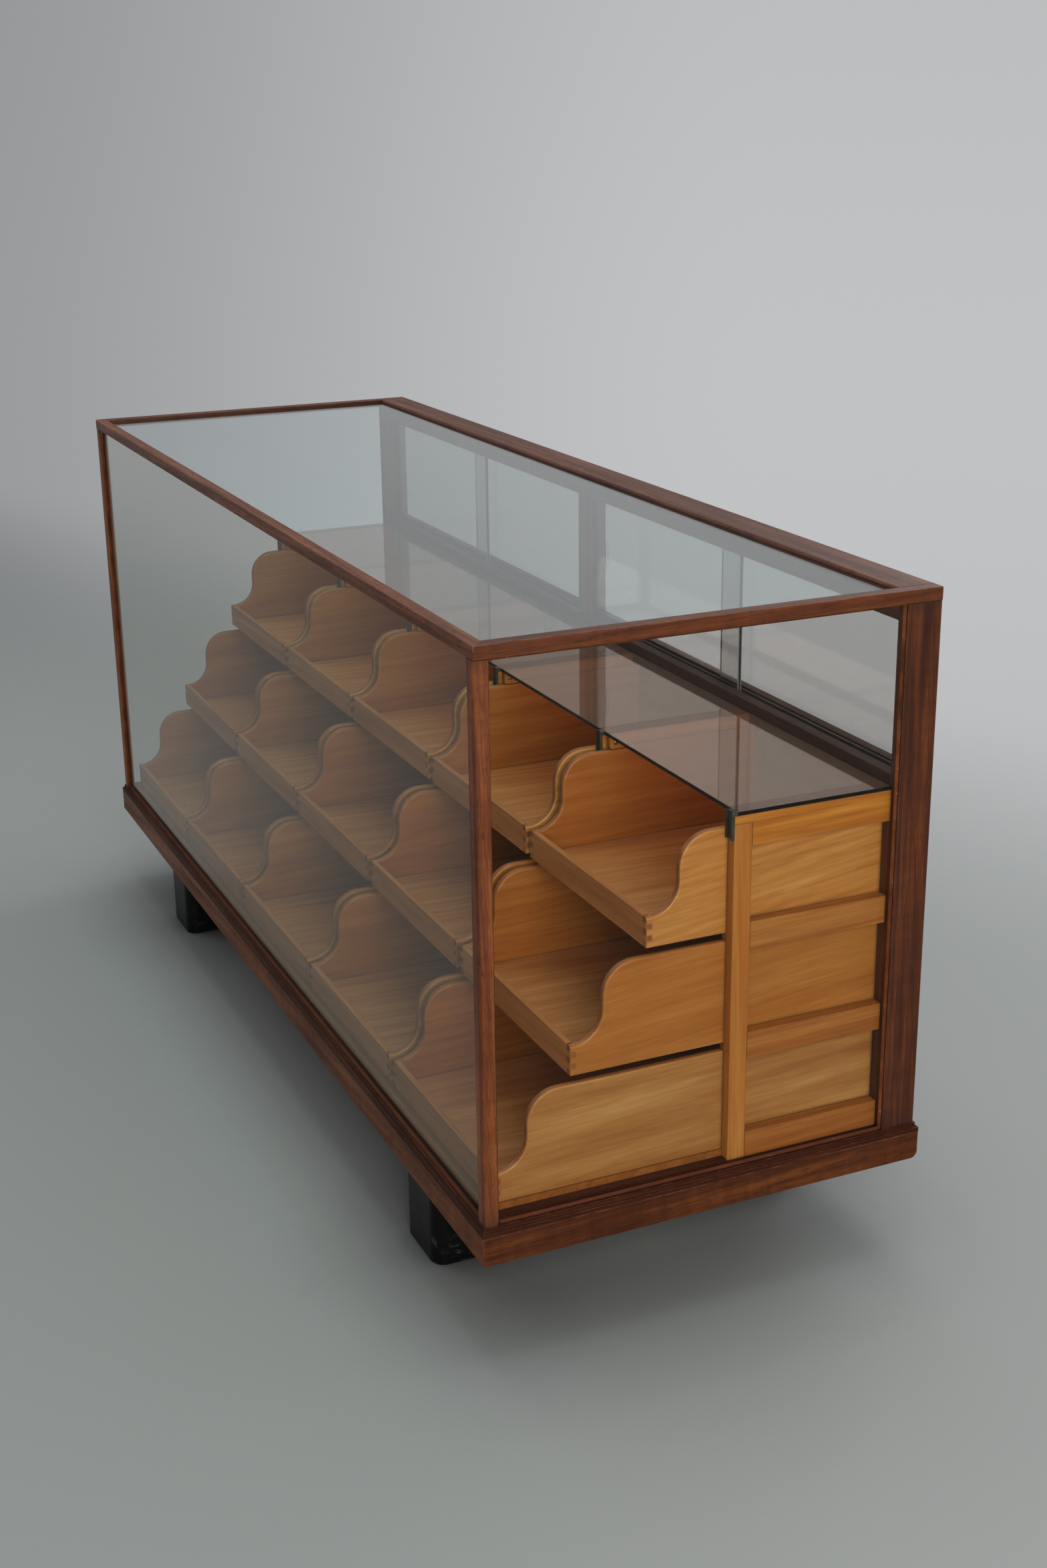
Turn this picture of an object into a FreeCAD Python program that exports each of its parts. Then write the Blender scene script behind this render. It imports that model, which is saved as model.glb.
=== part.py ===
import FreeCAD, Part
import math
import os
from FreeCAD import Vector

# Haberdashery cabinet: a glazed mahogany shop counter. Fifteen honey-wood trays in three stepped rows
# show their scooped fronts to the customer and are drawn out from the staff side, where four glass
# doors slide above them. Millimetres. X runs along the counter, -Y is the customer side, +Z is up,
# and the origin is on the floor under the middle of the cabinet.

# --- Driving sizes ------------------------------------------------------------------------------

# outer frame
frame_length = 1830.0
frame_depth = 616.0
post_height = 708.0
rail_height = 17.0
end_thickness = 20.0           # X size of the posts and of the end rails
front_thickness = 18.0         # Y size of the front posts and of the front rail
rear_post_depth = 50.0
rear_rail_width = 53.0
rear_rail_round = 4.0
arris = 1.2                    # softened edge of a planed board
front_post_round = 5.0
rear_post_round = 3.0

# plinth, its moulding and the feet
floor_clearance = 146.0
plinth_board_height = 39.0
plinth_board_thickness = 18.0
plinth_projection = 5.0
plinth_corner_round = 10.0
moulding_height = 12.0
moulding_width = 55.0
moulding_fillet = 1.5          # width of the small square member beside the posts
moulding_fillet_height = 3.0
moulding_hollow = 3.0          # radius of the hollow under it
foot_length = 112.0
foot_depth = 100.0
foot_spacing = 1250.0
foot_setback = 24.0            # from the frame's front face to the foot's
foot_corner_round = 20.0
foot_edge = 2.0

# glass
pane_thickness = 5.0
pane_setback = 6.0             # from the frame's face to the pane's
glass_groove_depth = 6.0
glass_clearance = 0.3
top_glass_thickness = 6.0
top_glass_recess = 5.0
top_glass_gap = 0.5
rebate_width = 8.0
putty_size = 3.0
shelf_thickness = 5.0
glass_arris = 0.5

# carcass under the shelf
end_frame_gap = 17.0           # from the frame's end face to the carcass
end_frame_thickness = 16.0
divider_thickness = 12.0
columns = 5
carcass_front = 35.0           # Y of the front stiles
stile_width = 25.0
base_board_thickness = 10.0
base_board_front_gap = 18.0    # from the frame's front face to the board
top_rail_height = 41.0
top_rail_tongue = 11.0
runner_rail_height = 37.0
runner_rail_drop = 21.0        # from a row's tray bottom to the underside of its runner rail
bottom_rail_height = 36.0
rear_stile_depth = 30.0
runner_width = 9.0
kicker_width = 10.0
kicker_height = 18.0
kicker_set_in = 6.0
kicker_round = 4.0
shelf_front_gap = 4.0

# shelf clips and screws
clip_height = 36.0
clip_depth = 4.0
clip_metal = 1.5
screw_radius = 1.8
screw_head_radius = 3.4
screw_head_height = 2.0
screw_bite = 5.0
screw_slot_width = 0.9
screw_slot_depth = 0.8
screw_end_distance = 9.0
screw_rise = 9.0

# trays and their fronts
row_names = ("bottom", "middle", "top")
tray_height = 139.0
row_gap = 11.0                 # from a row's trays to the trays above
tray_step = 103.0              # how much further back each row starts
tray_front_setback = 27.0      # from the frame's front face to the bottom row's lip
tray_side_thickness = 10.0
tray_side_round = 4.0
lip_height = 40.0
lip_thickness = 8.0
lip_round = 1.5
fingers = 5
scoop_start = 4.0
scoop_radius = 40.0
scoop_straight = 16.0
tray_bottom_thickness = 5.0
tray_bottom_rise = 3.0
tray_groove_depth = 4.0
drawer_front_thickness = 18.0
drawer_front_recess = 20.0     # from the frame's rear face to the drawer fronts
drawer_front_round = 2.0
knob_radius = 15.0
knob_neck_radius = 7.0
knob_foot_radius = 10.0
knob_foot_thickness = 2.0
knob_neck_out = 9.0            # from the drawer front to the narrowest place
knob_rim_out = 15.0
knob_length = 24.0

# clearances of the moving pieces
running_gap = 0.3              # under a tray and under a door
door_side_gap = 1.0            # between a door's face and the side of its groove
tray_side_gap = 1.0
tray_top_gap = 0.7
front_side_gap = 1.5
front_joint = 1.5              # between drawer fronts, one above the other

# sliding doors
sill_height = 27.0
head_height = 24.0
door_thickness = 6.0
track_land = 4.0               # wood left between the two grooves
track_centre = 24.0            # from the frame's rear face to the middle of the two tracks
sill_groove_depth = 6.0
head_groove_depth = 14.0
door_head_entry = 8.0
door_overlap = 66.0
door_end_gap = 0.5
centre_post_width = 20.0
centre_post_inset_inside = 5.0
centre_post_inset_outside = 2.0
pull_width = 17.0
pull_height = 42.0
pull_depth = 1.6
inner_pull_distance = 50.0     # from the door's edge to the middle of the pull
outer_pull_distance = 28.0
pull_rise = 8.0                # above the middle of the door opening

# --- Derived levels and lines -------------------------------------------------------------------

row_pitch = tray_height + row_gap
half_length = frame_length / 2
half_depth = frame_depth / 2
front_face = -half_depth
rear_face = half_depth

moulding_bottom = floor_clearance + plinth_board_height
plinth_top = moulding_bottom + moulding_height
rail_bottom = plinth_top + post_height
rail_top = rail_bottom + rail_height
ledge_top = rail_top - top_glass_recess - top_glass_thickness

post_inner_x = half_length - end_thickness
front_post_back = front_face + front_thickness
rear_post_front = rear_face - rear_post_depth
rear_rail_front = rear_face - rear_rail_width
end_pane_outer = half_length - pane_setback
end_pane_inner = end_pane_outer - pane_thickness
front_pane_outer = front_face + pane_setback
front_pane_inner = front_pane_outer + pane_thickness

carcass_outer = half_length - end_frame_gap
carcass_inner = carcass_outer - end_frame_thickness
bay_width = (2 * carcass_inner - (columns - 1) * divider_thickness) / columns
carcass_rear = rear_post_front
stile_back = carcass_front + stile_width
rear_stile_back = carcass_rear + rear_stile_depth
base_board_top = plinth_top + base_board_thickness
shelf_front = carcass_front + shelf_front_gap
shelf_back = rear_post_front - top_glass_gap

drawer_face_outer = rear_face - drawer_front_recess
drawer_face_inner = drawer_face_outer - drawer_front_thickness
first_lip_y = front_face + tray_front_setback
first_tray_z = base_board_top + running_gap
top_tray_z = first_tray_z + (len(row_names) - 1) * row_pitch
kicker_bottom = top_tray_z + tray_height + tray_top_gap
shelf_bottom = kicker_bottom + kicker_height
shelf_top = shelf_bottom + shelf_thickness
front_bottom_rise = front_joint - 2 * running_gap

sill_bottom = top_tray_z + row_pitch + front_bottom_rise - running_gap
sill_top = sill_bottom + sill_height
head_bottom = rail_bottom - head_height
groove_width = door_thickness + 2 * door_side_gap
track_pitch = groove_width + track_land
track_middle = rear_face - track_centre
track_y = {"inner": track_middle - track_pitch / 2, "outer": track_middle + track_pitch / 2}
door_bottom = sill_top - sill_groove_depth + running_gap
door_top = head_bottom + door_head_entry
door_bay_inner = centre_post_width / 2 + door_end_gap
door_bay_outer = post_inner_x - door_end_gap
door_width = (door_bay_outer - door_bay_inner + door_overlap) / 2

# --- Helpers ------------------------------------------------------------------------------------


def box(x, y, z):
    """A plain block from its (low, high) pair on each axis."""
    return Part.makeBox(x[1] - x[0], y[1] - y[0], z[1] - z[0], Vector(x[0], y[0], z[0]))


def board(x, y, z, radius=arris):
    """A block with all its edges softened."""
    block = box(x, y, z)
    return block.makeFillet(radius, block.Edges)


def plan_prism(points, z):
    """A vertical prism on a plan outline."""
    corners = [Vector(px, py, z[0]) for px, py in points]
    face = Part.Face(Part.makePolygon(corners + corners[:1]))
    return face.extrude(Vector(0, 0, z[1] - z[0]))


def mirror_x(shape):
    return shape.mirror(Vector(0, 0, 0), Vector(1, 0, 0))


def mirror_y(shape):
    return shape.mirror(Vector(0, 0, 0), Vector(0, 1, 0))


def edges_along(shape, direction, x=None, y=None, z=None):
    """Straight edges parallel to an axis whose middle has the given coordinates."""
    found = []
    for edge in shape.Edges:
        span = edge.Vertexes[-1].Point - edge.Vertexes[0].Point
        if span.Length < 1e-6 or abs(abs(span.dot(direction)) - span.Length) > 1e-6:
            continue
        middle = edge.CenterOfMass
        wanted = ((x, middle.x), (y, middle.y), (z, middle.z))
        if all(value is None or abs(value - place) < 1e-3 for value, place in wanted):
            found.append(edge)
    return found


def export(name, solids):
    shape = solids[0] if len(solids) == 1 else Part.makeCompound(solids)
    shape.exportStep("parts/" + name + ".step")
    print(name, len(solids), round(sum(solid.Volume for solid in solids) / 1000, 1), "cm3")


# --- Plinth and feet ----------------------------------------------------------------------------

plinth_x = half_length + plinth_projection
plinth_y = half_depth + plinth_projection


def plinth_boards():
    """Front and end boards mitred at the front corners, and a rear board between the ends."""
    z = (floor_clearance, moulding_bottom)
    inner_x = plinth_x - plinth_board_thickness
    inner_y = plinth_y - plinth_board_thickness
    front = board((-plinth_x, plinth_x), (-plinth_y, -inner_y), z)
    front = front.common(plan_prism([(-plinth_x, -plinth_y), (plinth_x, -plinth_y),
                                     (inner_x, -inner_y), (-inner_x, -inner_y)], z))
    right = box((inner_x, plinth_x), (-plinth_y, plinth_y), z)
    lower_rear = edges_along(right, Vector(1, 0, 0), y=plinth_y, z=floor_clearance)
    right = right.makeFillet(plinth_corner_round, lower_rear)
    long_edges = edges_along(right, Vector(0, 1, 0), x=plinth_x)
    right = right.makeFillet(arris, long_edges)
    right = right.common(plan_prism([(plinth_x, -plinth_y), (plinth_x, plinth_y),
                                     (inner_x, plinth_y), (inner_x, -inner_y)], z))
    rear = board((-inner_x, inner_x), (inner_y, plinth_y), z)
    return [front, right, mirror_x(right), rear]


def moulding_profile(outer):
    """Outer edge of the moulding, as (distance out, height) pairs worked down from the top."""
    step = outer - plinth_projection + moulding_fillet
    hollow_z = plinth_top - moulding_fillet_height
    nose_x = step + moulding_hollow
    nose_z = hollow_z - moulding_hollow
    turn = moulding_hollow * (1 - math.sqrt(0.5))
    round_radius = outer - nose_x
    return (step, hollow_z, nose_x, nose_z, turn, round_radius)


def moulding_strip(outer, length):
    """The moulding's section, with its moulded edge towards +X, drawn out along Y."""
    step, hollow_z, nose_x, nose_z, turn, round_radius = moulding_profile(outer)
    inner = outer - moulding_width
    lower_round = Vector(outer - round_radius * (1 - math.sqrt(0.5)), 0,
                         nose_z - round_radius * (1 - math.sqrt(0.5)))
    section = [
        Part.makePolygon([Vector(inner, 0, moulding_bottom), Vector(inner, 0, plinth_top),
                          Vector(step, 0, plinth_top), Vector(step, 0, hollow_z)]),
        Part.Arc(Vector(step, 0, hollow_z), Vector(step + turn, 0, hollow_z - moulding_hollow + turn),
                 Vector(nose_x, 0, nose_z)).toShape(),
        Part.Arc(Vector(nose_x, 0, nose_z), lower_round, Vector(outer, 0, nose_z - round_radius)).toShape(),
        Part.makePolygon([Vector(outer, 0, nose_z - round_radius), Vector(outer, 0, moulding_bottom),
                          Vector(inner, 0, moulding_bottom)]),
    ]
    edges = [edge for piece in section for edge in piece.Edges]
    face = Part.Face(Part.Wire(Part.__sortEdges__(edges)))
    strip = face.extrude(Vector(0, length, 0))
    strip.translate(Vector(0, -length / 2, 0))
    return strip


def base_moulding():
    """Four mitred strips that carry the posts, the panes and the base board."""
    z = (moulding_bottom, plinth_top)
    inner_x = plinth_x - moulding_width
    inner_y = plinth_y - moulding_width
    right = moulding_strip(plinth_x, 2 * plinth_y)
    right = right.common(plan_prism([(plinth_x, -plinth_y), (plinth_x, plinth_y),
                                     (inner_x, inner_y), (inner_x, -inner_y)], z))
    right = right.cut(end_pane_groove((plinth_top - glass_groove_depth, plinth_top)))
    rear = moulding_strip(plinth_y, 2 * plinth_x)
    rear.rotate(Vector(0, 0, 0), Vector(0, 0, 1), 90)
    rear = rear.common(plan_prism([(-plinth_x, plinth_y), (plinth_x, plinth_y),
                                   (inner_x, inner_y), (-inner_x, inner_y)], z))
    front = mirror_y(rear)
    front = front.cut(front_pane_groove((plinth_top - glass_groove_depth, plinth_top)))
    return [front, right, mirror_x(right), rear]


def foot():
    """One block foot with rounded corners, front right."""
    x_middle = foot_spacing / 2
    y_front = front_face + foot_setback
    block = box((x_middle - foot_length / 2, x_middle + foot_length / 2),
                (y_front, y_front + foot_depth), (0, moulding_bottom))
    block = block.makeFillet(foot_corner_round, edges_along(block, Vector(0, 0, 1)))
    sole = [edge for edge in block.Edges if abs(edge.BoundBox.ZMax) < 1e-3]
    return block.makeFillet(foot_edge, sole)


def feet():
    front_right = foot()
    rear_right = mirror_y(front_right)
    return [front_right, mirror_x(front_right), rear_right, mirror_x(rear_right)]


# --- Outer frame --------------------------------------------------------------------------------


def end_pane_groove(z):
    """Groove for the right-hand end pane, over the given height."""
    return box((end_pane_inner - glass_clearance, end_pane_outer + glass_clearance),
               (front_post_back - glass_groove_depth, rear_post_front + glass_groove_depth), z)


def front_pane_groove(z):
    reach = post_inner_x + glass_groove_depth
    return box((-reach, reach), (front_pane_outer - glass_clearance, front_pane_inner + glass_clearance), z)


def front_post():
    z = (plinth_top, rail_bottom)
    post = box((post_inner_x, half_length), (front_face, front_post_back), z)
    post = post.makeFillet(front_post_round, edges_along(post, Vector(0, 0, 1), x=half_length, y=front_face))
    inner_edges = (edges_along(post, Vector(0, 0, 1), x=post_inner_x, y=front_face)
                   + edges_along(post, Vector(0, 0, 1), x=half_length, y=front_post_back))
    post = post.makeFillet(arris, inner_edges)
    return post.cut(end_pane_groove(z)).cut(front_pane_groove(z))


def rear_post():
    z = (plinth_top, rail_bottom)
    post = box((post_inner_x, half_length), (rear_post_front, rear_face), z)
    post = post.makeFillet(rear_post_round, edges_along(post, Vector(0, 0, 1), x=half_length, y=rear_face))
    post = post.makeFillet(arris, edges_along(post, Vector(0, 0, 1), x=half_length, y=rear_post_front))
    return post.cut(end_pane_groove(z))


def top_rail_front():
    """Front rail, mitred to the end rails, with the ledge under the top glass."""
    z = (rail_bottom, rail_top)
    rail = board((-half_length, half_length), (front_face, front_post_back), z)
    rail = rail.common(plan_prism([(-half_length, front_face), (half_length, front_face),
                                   (post_inner_x, front_post_back), (-post_inner_x, front_post_back)], z))
    ledge = box((-post_inner_x, post_inner_x), (front_post_back - arris, front_post_back + rebate_width),
                (rail_bottom, ledge_top))
    groove = front_pane_groove((rail_bottom, rail_bottom + glass_groove_depth))
    return rail.fuse(ledge).cut(groove).removeSplitter()


def top_rail_end():
    """Right-hand end rail: mitred at the front, and carried over the rear post to the rear face."""
    z = (rail_bottom, rail_top)
    rail = board((post_inner_x, half_length), (front_face, rear_face), z)
    rail = rail.common(plan_prism([(half_length, front_face), (half_length, rear_face),
                                   (post_inner_x, rear_face), (post_inner_x, front_post_back)], z))
    ledge = box((post_inner_x - rebate_width, post_inner_x + arris),
                (front_post_back + rebate_width, rear_rail_front - rebate_width), (rail_bottom, ledge_top))
    groove = end_pane_groove((rail_bottom, rail_bottom + glass_groove_depth))
    return rail.fuse(ledge).cut(groove).removeSplitter()


def top_rail_rear():
    """Wide rear rail between the end rails, with its inner edge rounded down towards the top glass."""
    rail = box((-post_inner_x, post_inner_x), (rear_rail_front, rear_face), (rail_bottom, rail_top))
    rail = rail.makeFillet(rear_rail_round, edges_along(rail, Vector(1, 0, 0), y=rear_rail_front, z=rail_top))
    sharp = edges_along(rail, Vector(1, 0, 0), y=rear_face)
    sharp += edges_along(rail, Vector(0, 1, 0), z=rail_top)
    rail = rail.makeFillet(arris, sharp)
    ledge = box((-post_inner_x, post_inner_x), (rear_rail_front - rebate_width, rear_rail_front + arris),
                (rail_bottom, ledge_top))
    return rail.fuse(ledge).removeSplitter()


def track_cuts(z):
    """The two grooves of one door bay, and the same two of the other bay."""
    cuts = []
    for middle in track_y.values():
        y = (middle - groove_width / 2, middle + groove_width / 2)
        right_bay = box((centre_post_width / 2, post_inner_x), y, z)
        cuts += [right_bay, mirror_x(right_bay)]
    return cuts


def door_sill():
    sill = board((-post_inner_x, post_inner_x), (rear_post_front, rear_face), (sill_bottom, sill_top))
    return sill.cut(track_cuts((sill_top - sill_groove_depth, sill_top)))


def door_head():
    head = box((-post_inner_x, post_inner_x), (rear_post_front, rear_face), (head_bottom, rail_bottom))
    head = head.makeFillet(arris, edges_along(head, Vector(1, 0, 0), z=head_bottom))
    return head.cut(track_cuts((head_bottom, head_bottom + head_groove_depth)))


def centre_post():
    post = box((-centre_post_width / 2, centre_post_width / 2),
               (rear_post_front + centre_post_inset_inside, rear_face - centre_post_inset_outside),
               (sill_top, head_bottom))
    return post.makeFillet(arris, edges_along(post, Vector(0, 0, 1)))


# --- Glass --------------------------------------------------------------------------------------


def pane_span_z():
    return (plinth_top - glass_groove_depth, rail_bottom + glass_groove_depth - glass_clearance)


def front_glass():
    reach = post_inner_x + glass_groove_depth - glass_clearance
    return box((-reach, reach), (front_pane_outer, front_pane_inner), pane_span_z())


def end_glass():
    y = (front_post_back - glass_groove_depth + glass_clearance,
         rear_post_front + glass_groove_depth - glass_clearance)
    return box((end_pane_inner, end_pane_outer), y, pane_span_z())


def top_glass():
    reach = post_inner_x - top_glass_gap
    return board((-reach, reach), (front_post_back + top_glass_gap, rear_rail_front - top_glass_gap),
                 (ledge_top, ledge_top + top_glass_thickness), glass_arris)


def shelf_glass():
    return board((-carcass_outer, carcass_outer), (shelf_front, shelf_back), (shelf_bottom, shelf_top),
                 glass_arris)


def putty_wedge(corner, across, out, along):
    """A three-cornered fillet of putty: across the pane, out along the wood, drawn out along its length."""
    points = [corner, corner + across, corner + out, corner]
    return Part.Face(Part.makePolygon(points)).extrude(along)


def glazing_putty():
    """Putty round the outside of the front pane and the two end panes."""
    size = putty_size
    tall = Vector(0, 0, post_height)
    up = Vector(0, 0, size)
    strips = []
    out = Vector(0, -size, 0)
    side = putty_wedge(Vector(post_inner_x, front_pane_outer, plinth_top), Vector(-size, 0, 0), out, tall)
    run = Vector(2 * (post_inner_x - size), 0, 0)
    low = putty_wedge(Vector(-post_inner_x + size, front_pane_outer, plinth_top), up, out, run)
    high = putty_wedge(Vector(-post_inner_x + size, front_pane_outer, rail_bottom), -up, out, run)
    strips += [side, mirror_x(side), low, high]
    out = Vector(size, 0, 0)
    near = putty_wedge(Vector(end_pane_outer, front_post_back, plinth_top), Vector(0, size, 0), out, tall)
    far = putty_wedge(Vector(end_pane_outer, rear_post_front, plinth_top), Vector(0, -size, 0), out, tall)
    run = Vector(0, rear_post_front - front_post_back - 2 * size, 0)
    low = putty_wedge(Vector(end_pane_outer, front_post_back + size, plinth_top), up, out, run)
    high = putty_wedge(Vector(end_pane_outer, front_post_back + size, rail_bottom), -up, out, run)
    for strip in (near, far, low, high):
        strips += [strip, mirror_x(strip)]
    return strips


def finger_pull(x_middle, y_back):
    """A round-ended pocket ground into the staff side of a door."""
    z_middle = (sill_top + head_bottom) / 2 + pull_rise
    radius = pull_width / 2
    straight = (pull_height - pull_width) / 2
    y = (y_back - pull_depth, y_back)
    pocket = box((x_middle - radius, x_middle + radius), y, (z_middle - straight, z_middle + straight))
    for z_end in (z_middle - straight, z_middle + straight):
        pocket = pocket.fuse(Part.makeCylinder(radius, pull_depth, Vector(x_middle, y[0], z_end),
                                               Vector(0, 1, 0)))
    return pocket.removeSplitter()


def glass_door(bay, track):
    """One sliding door. The inner track holds the left-hand door of each bay."""
    bay_left = door_bay_inner if bay == "right" else -door_bay_outer
    bay_right = door_bay_outer if bay == "right" else -door_bay_inner
    if track == "inner":
        x = (bay_left, bay_left + door_width)
        pull_x = x[0] + inner_pull_distance
    else:
        x = (bay_right - door_width, bay_right)
        pull_x = x[1] - outer_pull_distance
    y = (track_y[track] - door_thickness / 2, track_y[track] + door_thickness / 2)
    door = board(x, y, (door_bottom, door_top), glass_arris)
    return door.cut(finger_pull(pull_x, y[1]))


# --- Carcass ------------------------------------------------------------------------------------


def bay_span(column):
    left = -carcass_inner + column * (bay_width + divider_thickness)
    return (left, left + bay_width)


def frame_spans():
    """X spans and foot level of the two end frames and of the dividers between the columns."""
    spans = [((-carcass_outer, -carcass_inner), plinth_top)]
    for column in range(columns - 1):
        right = bay_span(column)[1]
        spans.append(((right, right + divider_thickness), base_board_top))
    spans.append(((carcass_inner, carcass_outer), plinth_top))
    return spans


def tray_base(row):
    return first_tray_z + row * row_pitch


def base_board():
    """The floor of the carcass: it laps over the moulding and drops into it."""
    lower_x = plinth_x - moulding_width
    lower_y = plinth_y - moulding_width
    lower = box((-lower_x, lower_x), (-lower_y, lower_y), (moulding_bottom, plinth_top))
    upper = box((-carcass_inner, carcass_inner), (front_face + base_board_front_gap, rear_face),
                (plinth_top, base_board_top))
    front_edge = edges_along(upper, Vector(1, 0, 0), y=front_face + base_board_front_gap, z=base_board_top)
    return lower.fuse(upper.makeFillet(arris, front_edge)).removeSplitter()


def front_stiles():
    return [board(x, (carcass_front, stile_back), (foot_z, shelf_bottom - top_rail_tongue))
            for x, foot_z in frame_spans()]


def rear_stiles():
    """Stiles on the staff side, flush with the drawer fronts."""
    stiles = []
    for x, foot_z in frame_spans():
        clipped = (max(x[0], -post_inner_x), min(x[1], post_inner_x))
        stiles.append(board(clipped, (carcass_rear, rear_stile_back), (foot_z, sill_bottom)))
    return stiles


def screw_places():
    """(point on the kicker's face, direction out of it) of each kicker screw."""
    places = []
    z = kicker_bottom + screw_rise
    ends = (carcass_front + kicker_set_in + screw_end_distance, carcass_rear - screw_end_distance)
    for face_x, direction in rail_faces():
        for y in ends:
            places.append((Vector(face_x + direction * kicker_width, y, z), direction))
    return places


def rail_faces():
    """The faces of the frames that look into a bay, as (X, direction into the bay)."""
    faces = []
    for column in range(columns):
        left, right = bay_span(column)
        faces += [(left, 1), (right, -1)]
    return faces


def screw_holes():
    return [Part.makeCylinder(screw_radius, kicker_width + screw_bite, point, Vector(-direction, 0, 0))
            for point, direction in screw_places()]


def divider_rails():
    """Top, runner and bottom rails of every frame. The top rail laps over the front stile."""
    rails = []
    holes = Part.makeCompound(screw_holes())
    runner_bottoms = [tray_base(row) - runner_rail_drop for row in range(1, len(row_names))]
    for x, foot_z in frame_spans():
        top = box(x, (stile_back, carcass_rear), (shelf_bottom - top_rail_height, shelf_bottom))
        tongue = box(x, (carcass_front, stile_back), (shelf_bottom - top_rail_tongue, shelf_bottom))
        rails.append(top.fuse(tongue).removeSplitter().cut(holes))
        for bottom in runner_bottoms:
            rails.append(board(x, (stile_back, carcass_rear), (bottom, bottom + runner_rail_height)))
        rails.append(board(x, (stile_back, carcass_rear), (foot_z, plinth_top + bottom_rail_height)))
    return rails


def drawer_runners():
    """Strips that carry the upper two rows, and kickers over the top row."""
    strips = []
    for face_x, direction in rail_faces():
        for row in range(1, len(row_names)):
            x = sorted((face_x, face_x + direction * runner_width))
            z = (tray_base(row - 1) + tray_height + tray_top_gap, tray_base(row) - running_gap)
            strips.append(box(x, (carcass_front, drawer_face_inner - running_gap), z))
        x = sorted((face_x, face_x + direction * kicker_width))
        z = (kicker_bottom, shelf_bottom)
        y_front = carcass_front + kicker_set_in
        kicker = box(x, (y_front, carcass_rear), z)
        kicker = kicker.makeFillet(kicker_round, edges_along(kicker, Vector(1, 0, 0), y=y_front, z=z[0]))
        strips.append(kicker)
    holes = Part.makeCompound(screw_holes())
    return [strip.cut(holes) for strip in strips]


def kicker_screws():
    """Slotted round-head screws through the kickers into the rails."""
    screws = []
    for point, direction in screw_places():
        out = Vector(direction, 0, 0)
        shank = Part.makeCylinder(screw_radius, kicker_width + screw_bite, point, -out)
        head = Part.makeCylinder(screw_head_radius, screw_head_height, point, out)
        rim = [edge for edge in head.Edges
               if abs(edge.BoundBox.Center.x - point.x - direction * screw_head_height) < 1e-3
               and edge.Length > screw_head_radius * 4]
        head = head.makeFillet(screw_head_height * 0.8, rim)
        slot_x = sorted((point.x + direction * (screw_head_height - screw_slot_depth),
                         point.x + direction * screw_head_height))
        slot = box(slot_x, (point.y - screw_head_radius, point.y + screw_head_radius),
                   (point.z - screw_slot_width / 2, point.z + screw_slot_width / 2))
        screws.append(shank.fuse(head).removeSplitter().cut(slot))
    return screws


def shelf_clips():
    """A metal channel on the face of each front stile, with a tab that stops the shelf."""
    clips = []
    z = (shelf_top - clip_height, shelf_top)
    for x, _ in frame_spans():
        plate = box(x, (carcass_front - clip_metal, carcass_front), z)
        flange_y = (carcass_front - clip_depth, carcass_front)
        left = box((x[0], x[0] + clip_metal), flange_y, z)
        right = box((x[1] - clip_metal, x[1]), flange_y, z)
        tab = box(x, (carcass_front, shelf_front), (shelf_bottom, shelf_top))
        clips.append(plate.fuse([left, right, tab]).removeSplitter())
    return clips


# --- Trays and drawer fronts --------------------------------------------------------------------


def tray_side_face(x, lip_y, base):
    """Outline of a tray side: low at the lip, then a hollow scoop and a round crest."""
    crest_radius = tray_height - lip_height - scoop_radius - scoop_straight
    steep_y = lip_y + scoop_start + scoop_radius
    crest_y = steep_y + crest_radius
    lip_z = base + lip_height
    scoop_z = lip_z + scoop_radius
    crest_z = scoop_z + scoop_straight
    top_z = base + tray_height
    slant = math.sqrt(0.5)

    def at(y, z):
        return Vector(x, y, z)

    scoop_middle = at(steep_y - scoop_radius * (1 - slant), lip_z + scoop_radius * (1 - slant))
    crest_middle = at(steep_y + crest_radius * (1 - slant), crest_z + crest_radius * slant)
    pieces = [
        Part.makePolygon([at(drawer_face_inner, top_z), at(drawer_face_inner, base), at(lip_y, base),
                          at(lip_y, lip_z), at(lip_y + scoop_start, lip_z)]),
        Part.Arc(at(lip_y + scoop_start, lip_z), scoop_middle, at(steep_y, scoop_z)).toShape(),
        Part.makePolygon([at(steep_y, scoop_z), at(steep_y, crest_z)]),
        Part.Arc(at(steep_y, crest_z), crest_middle, at(crest_y, top_z)).toShape(),
        Part.makePolygon([at(crest_y, top_z), at(drawer_face_inner, top_z)]),
    ]
    edges = [edge for piece in pieces for edge in piece.Edges]
    return Part.Face(Part.Wire(Part.__sortEdges__(edges)))


def tray_side(x, lip_y, base):
    """One side with its upper edges rounded over on both faces."""
    side = tray_side_face(x[0], lip_y, base).extrude(Vector(x[1] - x[0], 0, 0))
    upper = []
    for edge in side.Edges:
        middle = edge.CenterOfMass
        on_face = min(abs(middle.x - x[0]), abs(middle.x - x[1])) < 1e-3
        low_edge = middle.z < base + lip_height - 1e-3
        rear_edge = abs(middle.y - drawer_face_inner) < 1e-3
        if on_face and not low_edge and not rear_edge:
            upper.append(edge)
    return side.makeFillet(tray_side_round, upper)


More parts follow.
